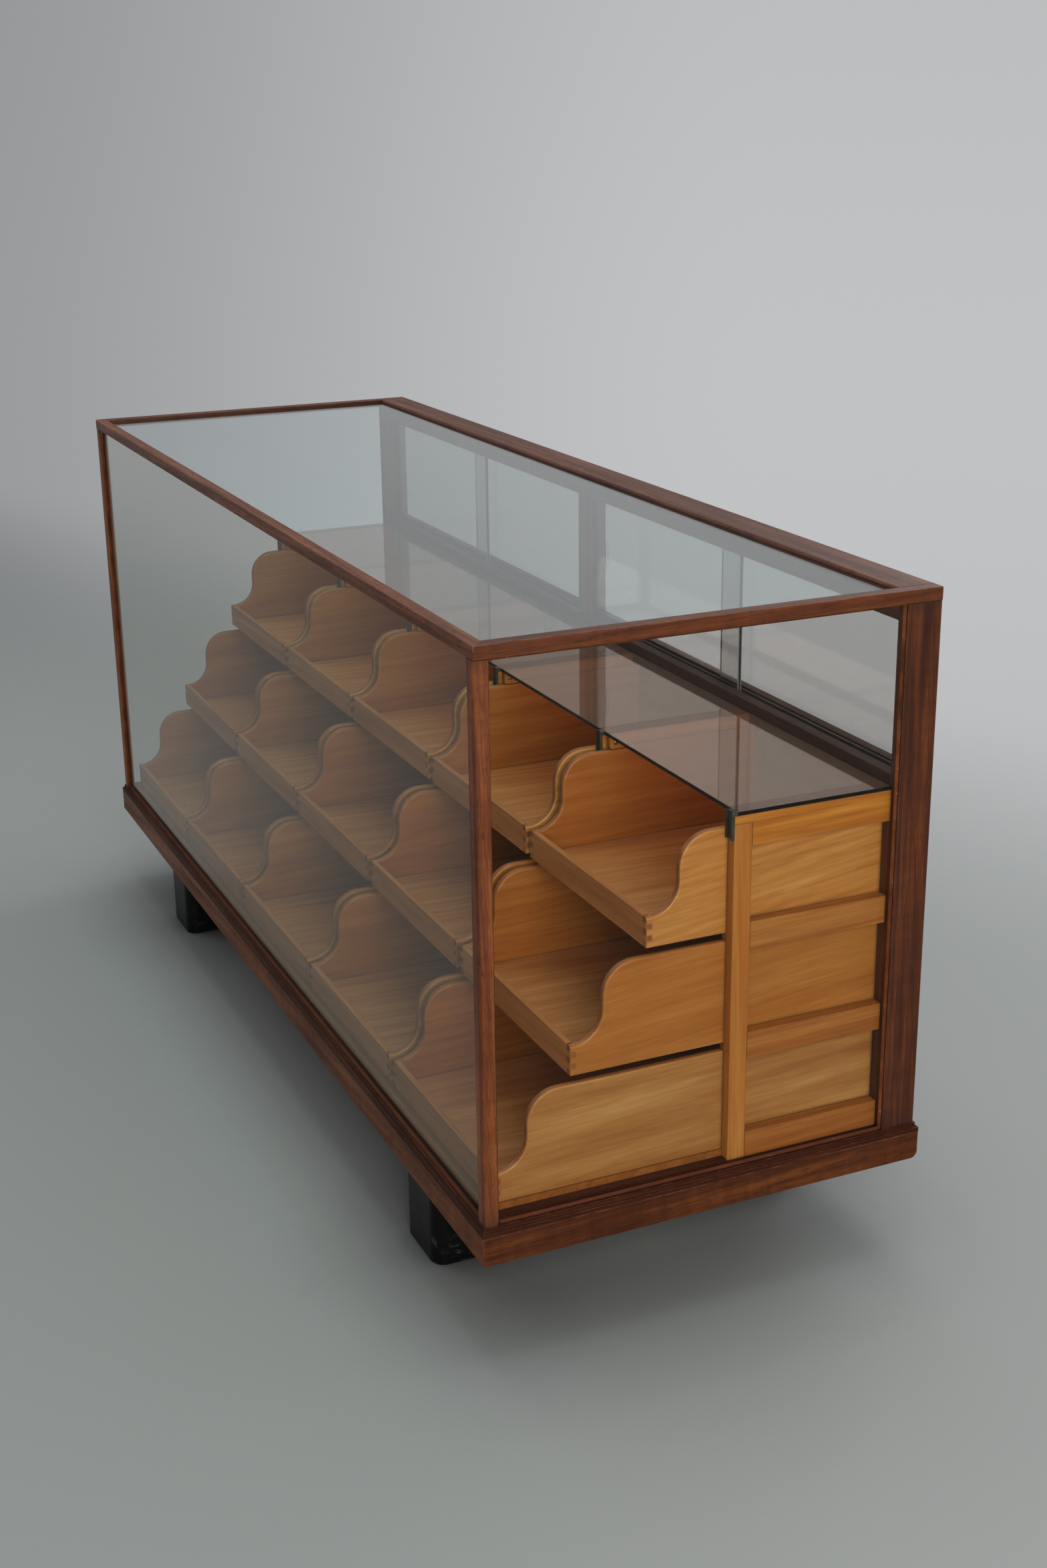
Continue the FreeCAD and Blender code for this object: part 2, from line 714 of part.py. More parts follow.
def tray(row, column):
    """Two sides and a lip with finger joints, and a bottom held in grooves."""
    left, right = bay_span(column)
    x = (left + tray_side_gap, right - tray_side_gap)
    lip_y = first_lip_y + row * tray_step
    base = tray_base(row)
    inner = (x[0] + tray_side_thickness, x[1] - tray_side_thickness)
    bottom = box((inner[0] - tray_groove_depth, inner[1] + tray_groove_depth),
                 (lip_y + lip_thickness - tray_groove_depth, drawer_face_inner),
                 (base + tray_bottom_rise, base + tray_bottom_rise + tray_bottom_thickness))
    lip_edges_z = base + lip_height
    lip = box(x, (lip_y, lip_y + lip_thickness), (base, lip_edges_z))
    lip = lip.makeFillet(lip_round, edges_along(lip, Vector(1, 0, 0), z=lip_edges_z))
    side_left = tray_side((x[0], inner[0]), lip_y, base)
    side_right = tray_side((inner[1], x[1]), lip_y, base)
    finger = lip_height / fingers
    for index in range(fingers):
        z = (base + index * finger, base + (index + 1) * finger)
        cell_y = (lip_y, lip_y + lip_thickness)
        cell_left = box((x[0], inner[0]), cell_y, z)
        cell_right = box((inner[1], x[1]), cell_y, z)
        if index % 2:
            side_left = side_left.cut(cell_left)
            side_right = side_right.cut(cell_right)
        else:
            lip = lip.cut([cell_left, cell_right])
    return [side_left.cut(bottom), side_right.cut(bottom), lip.cut(bottom), bottom]


def knob(x, z):
    """A turned knob, revolved about Y: foot disc, hollow neck, round belly and domed face."""
    def at(radius, out):
        return Vector(x + radius, drawer_face_outer + out, z)

    slant = math.sqrt(0.5)
    rise = knob_rim_out - knob_neck_out
    spread = knob_radius - knob_neck_radius
    belly = (spread ** 2 + rise ** 2) / (2 * spread)
    belly_turn = math.atan2(rise, belly - spread) / 2
    belly_middle = at(knob_radius - belly + belly * math.cos(belly_turn),
                      knob_rim_out - belly * math.sin(belly_turn))
    dome_rise = knob_length - knob_rim_out
    dome = (knob_radius ** 2 + dome_rise ** 2) / (2 * dome_rise)
    dome_turn = math.asin(knob_radius / dome) / 2
    dome_middle = at(dome * math.sin(dome_turn), knob_length - dome + dome * math.cos(dome_turn))
    hollow_x = knob_foot_radius - knob_neck_radius
    hollow_y = knob_neck_out - knob_foot_thickness
    neck_middle = at(knob_foot_radius - hollow_x * slant,
                     knob_foot_thickness + hollow_y * (1 - slant))
    profile = [
        Part.makePolygon([at(0, knob_length), at(0, 0), at(knob_foot_radius, 0),
                          at(knob_foot_radius, knob_foot_thickness)]),
        Part.Arc(at(knob_foot_radius, knob_foot_thickness), neck_middle,
                 at(knob_neck_radius, knob_neck_out)).toShape(),
        Part.Arc(at(knob_neck_radius, knob_neck_out), belly_middle, at(knob_radius, knob_rim_out)).toShape(),
        Part.Arc(at(knob_radius, knob_rim_out), dome_middle, at(0, knob_length)).toShape(),
    ]
    edges = [edge for piece in profile for edge in piece.Edges]
    face = Part.Face(Part.Wire(Part.__sortEdges__(edges)))
    return face.revolve(Vector(x, drawer_face_outer, z), Vector(0, 1, 0), 360)


def drawer_front(row, column):
    """The staff-side front of a tray, with its knob."""
    left, right = bay_span(column)
    x = (left + front_side_gap, right - front_side_gap)
    bottom = tray_base(row) + front_bottom_rise - running_gap
    z = (bottom, bottom + row_pitch - front_joint)
    panel = box(x, (drawer_face_inner, drawer_face_outer), z)
    outer_rim = [edge for edge in panel.Edges if abs(edge.CenterOfMass.y - drawer_face_outer) < 1e-3]
    panel = panel.makeFillet(drawer_front_round, outer_rim)
    return [panel, knob((x[0] + x[1]) / 2, (z[0] + z[1]) / 2)]


# --- Build --------------------------------------------------------------------------------------

os.makedirs("parts", exist_ok=True)

export("plinth_boards", plinth_boards())
export("base_moulding", base_moulding())
export("feet", feet())
export("base_board", [base_board()])
export("post_front_right", [front_post()])
export("post_front_left", [mirror_x(front_post())])
export("post_rear_right", [rear_post()])
export("post_rear_left", [mirror_x(rear_post())])
export("centre_post", [centre_post()])
export("top_rail_front", [top_rail_front()])
export("top_rail_rear", [top_rail_rear()])
export("top_rail_ends", [top_rail_end(), mirror_x(top_rail_end())])
export("door_head", [door_head()])
export("door_sill", [door_sill()])
export("front_glass", [front_glass()])
export("right_glass", [end_glass()])
export("left_glass", [mirror_x(end_glass())])
export("top_glass", [top_glass()])
export("shelf_glass", [shelf_glass()])
export("glazing_putty", glazing_putty())
export("front_stiles", front_stiles())
export("rear_stiles", rear_stiles())
export("divider_rails", divider_rails())
export("drawer_runners", drawer_runners())
export("shelf_clips", shelf_clips())
export("kicker_screws", kicker_screws())
for bay in ("left", "right"):
    for track in track_y:
        export("door_" + bay + "_" + track, [glass_door(bay, track)])
for row, row_name in enumerate(row_names):
    for column in range(columns):
        place = row_name + "_" + str(column + 1)
        export("tray_" + place, tray(row, column))
        export("drawer_front_" + place, drawer_front(row, column))
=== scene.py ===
import bpy
import math
from mathutils import Matrix, Vector


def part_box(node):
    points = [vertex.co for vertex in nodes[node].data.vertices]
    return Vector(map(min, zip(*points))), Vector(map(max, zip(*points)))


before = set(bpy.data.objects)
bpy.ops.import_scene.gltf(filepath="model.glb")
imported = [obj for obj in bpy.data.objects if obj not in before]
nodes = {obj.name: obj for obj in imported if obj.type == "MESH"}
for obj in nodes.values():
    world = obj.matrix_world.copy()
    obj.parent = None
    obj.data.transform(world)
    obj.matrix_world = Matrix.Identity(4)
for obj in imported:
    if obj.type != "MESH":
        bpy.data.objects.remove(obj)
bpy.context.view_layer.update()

# --- Studio ---
# A plain pale floor that fades out into a pale backdrop, soft lamps, and the camera at the height of a
# customer who stands at the near end of the counter.

camera_place = Vector((2.8568, -1.1097, 1.4869))
camera_azimuth = math.radians(66.107)
camera_elevation = math.radians(19.016)
camera_roll = math.radians(-0.761)
camera_lens = 45.837                 # millimetres, for a long side of 36 mm
backdrop_left = (0.34, 0.345, 0.35, 1)
backdrop_right = (0.57, 0.575, 0.585, 1)
floor_colour = (0.275, 0.290, 0.282, 1)
floor_reach = 9.0
floor_fade = (2.6, 6.5)              # how far out the floor starts to go, and is gone
sweep_fade = (0.75, 2.3)             # the same behind the cabinet, across the line of the wall
sweep_turn = math.radians(21)
contact_reach = 0.22                 # how far round the cabinet the floor is shaded by it
wall_turn = (-0.30, 0.12)            # where the backdrop goes from its left to its right colour
wall_climb = (-0.45, 0.05)           # how far below and above the horizon it turns light
wall_levels = ((0.0, 0.76), (0.56, 1.0))
wall_top = 0.86
sky_colour, sky_strength = (0.92, 0.96, 1.0, 1), 0.36
lamps = (("window_lamp", (4.6, -0.9, 1.9), (0.2, 0.0, 0.45), (2.6, 2.4), 150, (1.0, 0.97, 0.93)),
         ("room_lamp", (-3.4, -2.6, 2.6), (-0.2, 0.0, 0.4), (2.4, 2.2), 24, (0.93, 0.96, 1.0)),
         ("back_lamp", (-1.2, 3.6, 2.6), (0.0, 0.0, 0.4), (3.0, 2.0), 65, (0.96, 0.98, 1.0)),
         ("ceiling_lamp", (0.0, 0.4, 3.8), (0.0, 0.0, 0.0), (3.6, 2.6), 60, (1.0, 0.99, 0.97)))

back = Vector((math.sin(camera_azimuth) * math.cos(camera_elevation),
               -math.cos(camera_azimuth) * math.cos(camera_elevation), math.sin(camera_elevation)))
level = Vector((0, 0, 1)).cross(back).normalized()
upright = back.cross(level)
right = level * math.cos(camera_roll) + upright * math.sin(camera_roll)
up = upright * math.cos(camera_roll) - level * math.sin(camera_roll)
camera_data = bpy.data.cameras.new("customer_view")
camera_data.sensor_fit = "AUTO"
camera_data.sensor_width = 36
camera_data.lens = camera_lens
camera = bpy.data.objects.new("customer_view", camera_data)
camera.matrix_world = Matrix.Translation(camera_place) @ Matrix((right, up, back)).transposed().to_4x4()
bpy.context.scene.collection.objects.link(camera)
bpy.context.scene.camera = camera
bpy.context.scene.view_settings.view_transform = "Standard"


def plug(tree, value, socket):
    """Sets a socket's value, or links it where the value is another node's socket."""
    if isinstance(value, bpy.types.NodeSocket):
        tree.links.new(value, socket)
    else:
        socket.default_value = value


def wire(tree, kind, **inputs):
    """Adds a node. Its inputs are given by name, with _ for a space, or by number as i0, i1 and so on."""
    node = tree.nodes.new(kind)
    for name, value in inputs.items():
        numbered = name[0] == "i" and name[1:].isdigit()
        plug(tree, value, node.inputs[int(name[1:]) if numbered else name.replace("_", " ")])
    return node


def reckon(tree, kind, *values):
    """A Math node on up to three values or sockets."""
    node = tree.nodes.new("ShaderNodeMath")
    node.operation = kind
    for slot, value in enumerate(values):
        plug(tree, value, node.inputs[slot])
    return node.outputs[0]


def new_group(name, takes, gives):
    """An empty node group with its sockets, as (name, kind, default) and (name, kind)."""
    group = bpy.data.node_groups.new(name, "ShaderNodeTree")
    for socket_name, kind, default in takes:
        socket = group.interface.new_socket(socket_name, in_out="INPUT", socket_type="NodeSocket" + kind)
        if default is not None:
            socket.default_value = default
    for socket_name, kind in gives:
        group.interface.new_socket(socket_name, in_out="OUTPUT", socket_type="NodeSocket" + kind)
    return group, wire(group, "NodeGroupInput").outputs, wire(group, "NodeGroupOutput").inputs


def use_group(tree, group, **inputs):
    """Places a group in a material and gives its outputs."""
    node = tree.nodes.new("ShaderNodeGroup")
    node.node_tree = group
    for name, value in inputs.items():
        plug(tree, value, node.inputs[name.replace("_", " ")])
    return node.outputs


def blank_material(name):
    """A new material and its empty node tree."""
    material = bpy.data.materials.new(name)
    material.use_nodes = True
    material.node_tree.nodes.clear()
    return material, material.node_tree


wall_group, takes, gives = new_group("backdrop_colour", [("Heading", "Vector", None)], [("Colour", "Color")])
sideways = wire(wall_group, "ShaderNodeVectorMath", i0=takes["Heading"], i1=tuple(right))
sideways.operation = "DOT_PRODUCT"
across = wire(wall_group, "ShaderNodeMapRange", Value=sideways.outputs["Value"], From_Min=wall_turn[0],
              From_Max=wall_turn[1])
across.interpolation_type = "SMOOTHSTEP"
shades = wire(wall_group, "ShaderNodeMix")
shades.data_type = "RGBA"
wall_group.links.new(across.outputs[0], shades.inputs[0])
shades.inputs[6].default_value, shades.inputs[7].default_value = backdrop_left, backdrop_right
rise = wire(wall_group, "ShaderNodeSeparateXYZ", Vector=takes["Heading"])
climb = wire(wall_group, "ShaderNodeMapRange", Value=rise.outputs["Z"], From_Min=wall_climb[0],
             From_Max=wall_climb[1])
level_shade = wire(wall_group, "ShaderNodeValToRGB", Fac=climb.outputs[0])
for element, (place, shade) in zip(level_shade.color_ramp.elements, wall_levels):
    element.position, element.color = place, (shade, shade, shade, 1)
top_shade = level_shade.color_ramp.elements.new(1.0)
top_shade.color = (wall_top, wall_top, wall_top, 1)
level_shade.color_ramp.interpolation = "B_SPLINE"
shaded = wire(wall_group, "ShaderNodeVectorMath", i0=shades.outputs[2], i1=level_shade.outputs["Color"])
shaded.operation = "MULTIPLY"
wall_group.links.new(shaded.outputs[0], gives["Colour"])

world = bpy.data.worlds.new("studio")
world.use_nodes = True
bpy.context.scene.world = world
sky = world.node_tree
sky.nodes.clear()
path = wire(sky, "ShaderNodeLightPath")
seen = reckon(sky, "MAXIMUM", path.outputs["Is Camera Ray"],
              reckon(sky, "MAXIMUM", path.outputs["Is Glossy Ray"], path.outputs["Is Transmission Ray"]))
soft_light = wire(sky, "ShaderNodeBackground", Color=sky_colour, Strength=sky_strength)
heading = wire(sky, "ShaderNodeTexCoord")
wall_colour = use_group(sky, wall_group, Heading=heading.outputs["Generated"])["Colour"]
pale_wall = wire(sky, "ShaderNodeBackground", Color=wall_colour, Strength=1.0)
either = wire(sky, "ShaderNodeMixShader", Fac=seen, i1=soft_light.outputs[0], i2=pale_wall.outputs[0])
wire(sky, "ShaderNodeOutputWorld", Surface=either.outputs[0])

floor_material, tree = blank_material("studio_floor")
spot = wire(tree, "ShaderNodeTexCoord")
distance = wire(tree, "ShaderNodeVectorMath", i0=spot.outputs["Object"])
distance.operation = "LENGTH"
fade = wire(tree, "ShaderNodeMapRange", Value=distance.outputs["Value"], From_Min=floor_fade[0],
            From_Max=floor_fade[1])
fade.interpolation_type = "SMOOTHSTEP"
behind = wire(tree, "ShaderNodeVectorMath", i0=spot.outputs["Object"],
              i1=(-math.sin(sweep_turn), math.cos(sweep_turn), 0))
behind.operation = "DOT_PRODUCT"
sweep = wire(tree, "ShaderNodeMapRange", Value=behind.outputs["Value"], From_Min=sweep_fade[0],
             From_Max=sweep_fade[1])
sweep.interpolation_type = "SMOOTHSTEP"
gone = reckon(tree, "MAXIMUM", fade.outputs[0], sweep.outputs[0])
cloud = wire(tree, "ShaderNodeTexNoise", Vector=spot.outputs["Object"], Scale=1.3, Detail=3.0)
sheen = wire(tree, "ShaderNodeMapRange", Value=cloud.outputs["Fac"], To_Min=0.58, To_Max=0.70)
open_sky = wire(tree, "ShaderNodeAmbientOcclusion", Color=floor_colour, Distance=contact_reach)
open_sky.samples = 8
paint = wire(tree, "ShaderNodeBsdfPrincipled", Base_Color=open_sky.outputs["Color"],
             Roughness=sheen.outputs[0])
paint.inputs["Specular IOR Level"].default_value = 0.3
clear = wire(tree, "ShaderNodeBsdfTransparent")
either = wire(tree, "ShaderNodeMixShader", Fac=gone, i1=paint.outputs[0], i2=clear.outputs[0])
wire(tree, "ShaderNodeOutputMaterial", Surface=either.outputs[0])

bpy.ops.object.select_all(action="DESELECT")
bpy.ops.mesh.primitive_circle_add(vertices=96, radius=floor_reach, fill_type="NGON", location=(0, 0, 0))
floor = bpy.context.object
floor.name = "studio_floor"
floor.data.materials.append(floor_material)

for name, place, aim, size, power, tint in lamps:
    lamp_data = bpy.data.lights.new(name, "AREA")
    lamp_data.shape = "RECTANGLE"
    lamp_data.size, lamp_data.size_y = size
    lamp_data.energy = power
    lamp_data.color = tint
    lamp = bpy.data.objects.new(name, lamp_data)
    lamp.location = place
    lamp.rotation_euler = (Vector(place) - Vector(aim)).to_track_quat("Z", "Y").to_euler()
    bpy.context.scene.collection.objects.link(lamp)


# --- Mahogany frame ---
# Corner posts, top rails, door head, sill and centre post: mahogany planed square, darkened by age and
# polish, with a long soft figure, dark streaks, rubbed arrises, and wax and painted shade in the inner
# corners.

axis_turn = {"x": (0, 0, 0), "y": (0, 0, -math.pi / 2), "z": (0, math.pi / 2, 0)}


def grown_figure():
    """How a board's figure shows: growth rings about a far-off heart, streaks, cross figure, fibres, pores."""
    group, takes, gives = new_group(
        "grown_figure",
        [("Vector", "Vector", None), ("Ring Width", "Float", 0.014), ("Wander", "Float", 5.0),
         ("Streak Width", "Float", 0.02), ("Fibre Width", "Float", 0.0015)],
        [(name, "Float") for name in ("Rings", "Streaks", "Mottle", "Fibres", "Pores")])

    def drawn(*stretch):
        node = wire(group, "ShaderNodeVectorMath", i0=takes["Vector"], i1=stretch)
        node.operation = "MULTIPLY"
        return node.outputs[0]

    def cloud(vector, scale, detail, roughness=0.5):
        return wire(group, "ShaderNodeTexNoise", Vector=vector, Scale=scale, Detail=detail,
                    Roughness=roughness).outputs["Fac"]

    from_heart = wire(group, "ShaderNodeVectorMath", i0=drawn(0, 1, 1))
    from_heart.operation = "LENGTH"
    turns = reckon(group, "DIVIDE", from_heart.outputs["Value"], takes["Ring Width"])
    drift = reckon(group, "MULTIPLY", cloud(drawn(0.16, 1, 1), 8.0, 1.0), takes["Wander"])
    wave = reckon(group, "SINE", reckon(group, "MULTIPLY", reckon(group, "ADD", turns, drift), math.tau))
    line = reckon(group, "POWER", reckon(group, "MULTIPLY_ADD", wave, 0.5, 0.5), 3.0)
    shown = wire(group, "ShaderNodeMapRange", Value=cloud(drawn(0.2, 1, 1), 9.0, 1.0), From_Min=0.42,
                 From_Max=0.62, To_Min=0.15)
    group.links.new(reckon(group, "MULTIPLY", line, shown.outputs[0]), gives["Rings"])
    group.links.new(cloud(drawn(0.035, 1, 1), reckon(group, "DIVIDE", 1.0, takes["Streak Width"]), 4.0, 0.6),
                    gives["Streaks"])
    group.links.new(cloud(drawn(1, 0.16, 0.16), 62.0, 3.0, 0.6), gives["Mottle"])
    fine = reckon(group, "DIVIDE", 1.0, takes["Fibre Width"])
    group.links.new(cloud(drawn(0.02, 1, 1), fine, 3.0, 0.7), gives["Fibres"])
    open_pores = wire(group, "ShaderNodeMapRange", Value=cloud(drawn(0.09, 1, 1), fine, 1.0), From_Min=0.60,
                      From_Max=0.72)
    group.links.new(open_pores.outputs[0], gives["Pores"])
    return group


def board_places():
    """Gives every board of a repeated set its own stretch of timber: a cell's number picks the offset."""
    group, takes, gives = new_group(
        "board_places", [("Vector", "Vector", None), ("Start", "Vector", (0, 0, 0)),
                         ("Pitch", "Vector", (1, 1, 1)), ("Spread", "Float", 0.4)],
        [("Vector", "Vector"), ("Tone", "Float")])
    shifted = wire(group, "ShaderNodeVectorMath", i0=takes["Vector"], i1=takes["Start"])
    shifted.operation = "SUBTRACT"
    cell = wire(group, "ShaderNodeVectorMath", i0=shifted.outputs[0], i1=takes["Pitch"])
    cell.operation = "SNAP"
    local = wire(group, "ShaderNodeVectorMath", i0=shifted.outputs[0], i1=cell.outputs[0])
    local.operation = "SUBTRACT"
    middle = wire(group, "ShaderNodeVectorMath", i0=cell.outputs[0], i1=(0.011, 0.013, 0.017))
    luck = wire(group, "ShaderNodeTexWhiteNoise", Vector=middle.outputs[0])
    luck.noise_dimensions = "3D"
    centred = wire(group, "ShaderNodeVectorMath", i0=luck.outputs["Color"], i1=(0.5, 0.5, 0.5))
    centred.operation = "SUBTRACT"
    moved = wire(group, "ShaderNodeVectorMath", i0=centred.outputs[0])
    moved.operation = "SCALE"
    group.links.new(takes["Spread"], moved.inputs["Scale"])
    total = wire(group, "ShaderNodeVectorMath", i0=local.outputs[0], i1=moved.outputs[0])
    group.links.new(total.outputs[0], gives["Vector"])
    group.links.new(luck.outputs["Value"], gives["Tone"])
    return group


def rubbed_edges_and_corner_shade():
    """Wear on arrises, broken up by a noise, and wax and painted shade in the corners that ambient occlusion
    finds.
    """
    group, takes, gives = new_group(
        "rubbed_edges_and_corner_shade", [("Vector", "Vector", None), ("Width", "Float", 0.002),
                         ("Corner Reach", "Float", 0.012)],
        [("Rubbed", "Float"), ("Corner", "Float")])
    rounded = wire(group, "ShaderNodeBevel", Radius=takes["Width"])
    rounded.samples = 4
    surface = wire(group, "ShaderNodeNewGeometry")
    lean = wire(group, "ShaderNodeVectorMath", i0=rounded.outputs[0], i1=surface.outputs["Normal"])
    lean.operation = "DOT_PRODUCT"
    edge = wire(group, "ShaderNodeMapRange", Value=lean.outputs["Value"], From_Min=0.995, From_Max=0.90)
    patches = wire(group, "ShaderNodeTexNoise", Vector=takes["Vector"], Scale=45.0, Detail=5.0, Roughness=0.7)
    worn = wire(group, "ShaderNodeMapRange", Value=patches.outputs["Fac"], From_Min=0.42, From_Max=0.62)
    # Ambient occlusion finds the inner corners, which get wax and painted shade.
    shade = wire(group, "ShaderNodeAmbientOcclusion", Distance=takes["Corner Reach"])
    shade.samples = 6
    corner = wire(group, "ShaderNodeMapRange", Value=shade.outputs["AO"], From_Min=0.85, From_Max=0.35)
    group.links.new(reckon(group, "MULTIPLY", edge.outputs[0], worn.outputs[0]), gives["Rubbed"])
    group.links.new(corner.outputs[0], gives["Corner"])
    return group


figure_group = grown_figure()
place_group = board_places()
rub_and_shade_group = rubbed_edges_and_corner_shade()


def mixed(tree, blend, factor, first, second):
    """A colour mix. Factor and colours are values or sockets."""
    node = tree.nodes.new("ShaderNodeMix")
    node.data_type = "RGBA"
    node.blend_type = blend
    for slot, value in ((0, factor), (6, first), (7, second)):
        plug(tree, value, node.inputs[slot])
    return node.outputs[2]


def ramp(tree, value, *stops):
    """A colour ramp through (place, colour) stops."""
    node = wire(tree, "ShaderNodeValToRGB", Fac=value)
    elements = node.color_ramp.elements
    while len(elements) < len(stops):
        elements.new(0.5)
    for element, (place, colour) in zip(elements, stops):
        element.position = place
        element.color = colour
    return node.outputs["Color"]


def timber(name, along, heart, tilt, look, start=None, pitch=None, dark_marks=None):
    """Finished timber with its length along an axis. heart moves the rings' centre, tilt leans it.
    dark_marks(tree, x, y, z) gives a mask of places that are darkened, such as joint lines."""
    material, tree = blank_material(name)
    spot = wire(tree, "ShaderNodeTexCoord")
    vector = spot.outputs["Object"]
    tone = 0.5
    if pitch:
        placed = use_group(tree, place_group, Vector=vector, Start=start, Pitch=pitch)
        vector, tone = placed["Vector"], placed["Tone"]
    turned = wire(tree, "ShaderNodeMapping", Vector=vector, Rotation=axis_turn[along])
    leaned = wire(tree, "ShaderNodeMapping", Vector=turned.outputs[0], Location=heart,
                  Rotation=(0, math.radians(tilt[0]), math.radians(tilt[1])))
    figure = use_group(tree, figure_group, Vector=leaned.outputs[0], Ring_Width=look["ring"],
                       Wander=look["wander"], Streak_Width=look["streak"], Fibre_Width=look["fibre"])
    edges = use_group(tree, rub_and_shade_group, Vector=spot.outputs["Object"], Width=look["rub_width"],
                      Corner_Reach=look["corner_reach"])
    body = ramp(tree, figure["Streaks"], (0.30, look["dark"]), (0.50, look["middle"]), (0.68, look["light"]))
    body = mixed(tree, "MULTIPLY", figure["Rings"], body, look["late"])
    across = ramp(tree, figure["Mottle"], (0.3, look["mottle"]), (0.7, (1, 1, 1, 1)))
    body = mixed(tree, "MULTIPLY", 1.0, body, across)
    fibre = ramp(tree, figure["Fibres"], (0.3, look["fibre_dark"]), (0.7, look["fibre_light"]))
    body = mixed(tree, "MULTIPLY", 1.0, body, fibre)
    open_pores = reckon(tree, "MULTIPLY", figure["Pores"], look["pore_depth"])
    body = mixed(tree, "MIX", open_pores, body, look["pore"])
    if pitch:
        varied = ramp(tree, tone, (0.0, look["tone_dark"]), (1.0, look["tone_light"]))
        body = mixed(tree, "MULTIPLY", 1.0, body, varied)
    facing = wire(tree, "ShaderNodeSeparateXYZ", Vector=spot.outputs["Normal"])
    end_on = reckon(tree, "ABSOLUTE", facing.outputs["xyz".index(along)])
    end_on = reckon(tree, "MULTIPLY", reckon(tree, "POWER", end_on, 3.0), look["end_depth"])
    body = mixed(tree, "MULTIPLY", end_on, body, look["end_grain"])
    worn = reckon(tree, "MULTIPLY", edges["Rubbed"], look["rub_depth"])
    body = mixed(tree, "MIX", worn, body, look["rubbed"])
    # Wax and painted shade in the inner corners.
    corner_wax_and_shade = reckon(tree, "MULTIPLY", edges["Corner"], look["corner_depth"])
    body = mixed(tree, "MIX", corner_wax_and_shade, body, look["wax_and_shade"])
    if dark_marks:
        place = wire(tree, "ShaderNodeSeparateXYZ", Vector=spot.outputs["Object"]).outputs
        body = mixed(tree, "MIX", dark_marks(tree, place["X"], place["Y"], place["Z"]), body, look["wax_and_shade"])
    gloss = wire(tree, "ShaderNodeMapRange", Value=figure["Streaks"], From_Min=0.3, From_Max=0.7,
                 To_Min=look["gloss"][0], To_Max=look["gloss"][1])
    rough = reckon(tree, "ADD", gloss.outputs[0], reckon(tree, "MULTIPLY", figure["Pores"], 0.15))
    height = reckon(tree, "SUBTRACT", reckon(tree, "MULTIPLY", figure["Fibres"], 0.5), figure["Pores"])
    bump = wire(tree, "ShaderNodeBump", Height=height, Strength=look["bump"], Distance=0.0003)
    finish = wire(tree, "ShaderNodeBsdfPrincipled", Base_Color=body, Roughness=rough, Normal=bump.outputs[0])
    finish.inputs["Specular IOR Level"].default_value = look["specular"]
    finish.inputs["Coat Weight"].default_value = look["coat"]
    finish.inputs["Coat Roughness"].default_value = look["coat_rough"]
    wire(tree, "ShaderNodeOutputMaterial", Surface=finish.outputs[0])
    return material


mahogany_look = {
    "ring": 0.017, "wander": 4.0, "streak": 0.011, "fibre": 0.0013,
    "dark": (0.056, 0.0140, 0.0045, 1), "middle": (0.098, 0.0260, 0.0072, 1),
    "light": (0.145, 0.0410, 0.0110, 1),
    "late": (0.72, 0.66, 0.64, 1), "mottle": (0.80, 0.76, 0.74, 1),
    "fibre_dark": (0.66, 0.62, 0.60, 1), "fibre_light": (1.16, 1.14, 1.12, 1),
    "pore": (0.020, 0.008, 0.005, 1), "pore_depth": 0.6,
    "end_grain": (0.62, 0.58, 0.56, 1), "end_depth": 0.8,
    "rubbed": (0.27, 0.12, 0.065, 1), "rub_width": 0.0020, "rub_depth": 0.6,
    # The next colour is the dark of wax and painted shade in the corners, also used for the darkened places.
    "wax_and_shade": (0.020, 0.009, 0.006, 1), "corner_reach": 0.010, "corner_depth": 0.6,
    "gloss": (0.52, 0.40), "specular": 0.20, "coat": 0.03, "coat_rough": 0.20, "bump": 0.25,
}
along_counter = timber("mahogany_along_counter", "x", (0.3, 0.06, -0.10), (1.2, 1.6), mahogany_look)
along_depth = timber("mahogany_along_depth", "y", (0.7, -0.05, -0.08), (1.8, 1.2), mahogany_look)
along_post = timber("mahogany_along_post", "z", (0.2, 0.07, 0.05), (1.5, 2.0), mahogany_look)

post_foot, post_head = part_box("post_front_right")[0].z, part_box("top_rail_ends")[0].z
foot_dark_reach, head_dark_reach, joint_line = 0.030, 0.016, 0.0008
bead_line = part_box("post_rear_right")[0].y + 0.0055
bead_face = 0.9135                   # only the glazed face has the bead


def near(tree, value, place, reach):
    """1 where a value is within reach of a place."""
    return reckon(tree, "COMPARE", value, place, reach)


def faded(tree, value, full, none):
    """1 at full, falling to 0 at none."""
    return wire(tree, "ShaderNodeMapRange", Value=value, From_Min=none, From_Max=full).outputs[0]


def post_darkening(tree, x, y, z):
    """Darkens a post towards its foot and just under its top joint, and draws the dark line of that joint."""
    foot = reckon(tree, "MULTIPLY", faded(tree, z, post_foot, post_foot + foot_dark_reach), 0.55)
    head = reckon(tree, "MULTIPLY", faded(tree, z, post_head, post_head - head_dark_reach), 0.40)
    line = reckon(tree, "MULTIPLY", near(tree, z, post_head, joint_line), 0.85)
    return reckon(tree, "MAXIMUM", reckon(tree, "MAXIMUM", foot, head), line)


def rear_post_darkening(tree, x, y, z):
    """As on the other posts, with the fine quirk that sets off the bead on the glazed edge."""
    outer = reckon(tree, "GREATER_THAN", reckon(tree, "ABSOLUTE", x), bead_face)
    quirk = reckon(tree, "MULTIPLY", near(tree, y, bead_line, 0.0005), outer)
    return reckon(tree, "MAXIMUM", post_darkening(tree, x, y, z), reckon(tree, "MULTIPLY", quirk, 0.8))


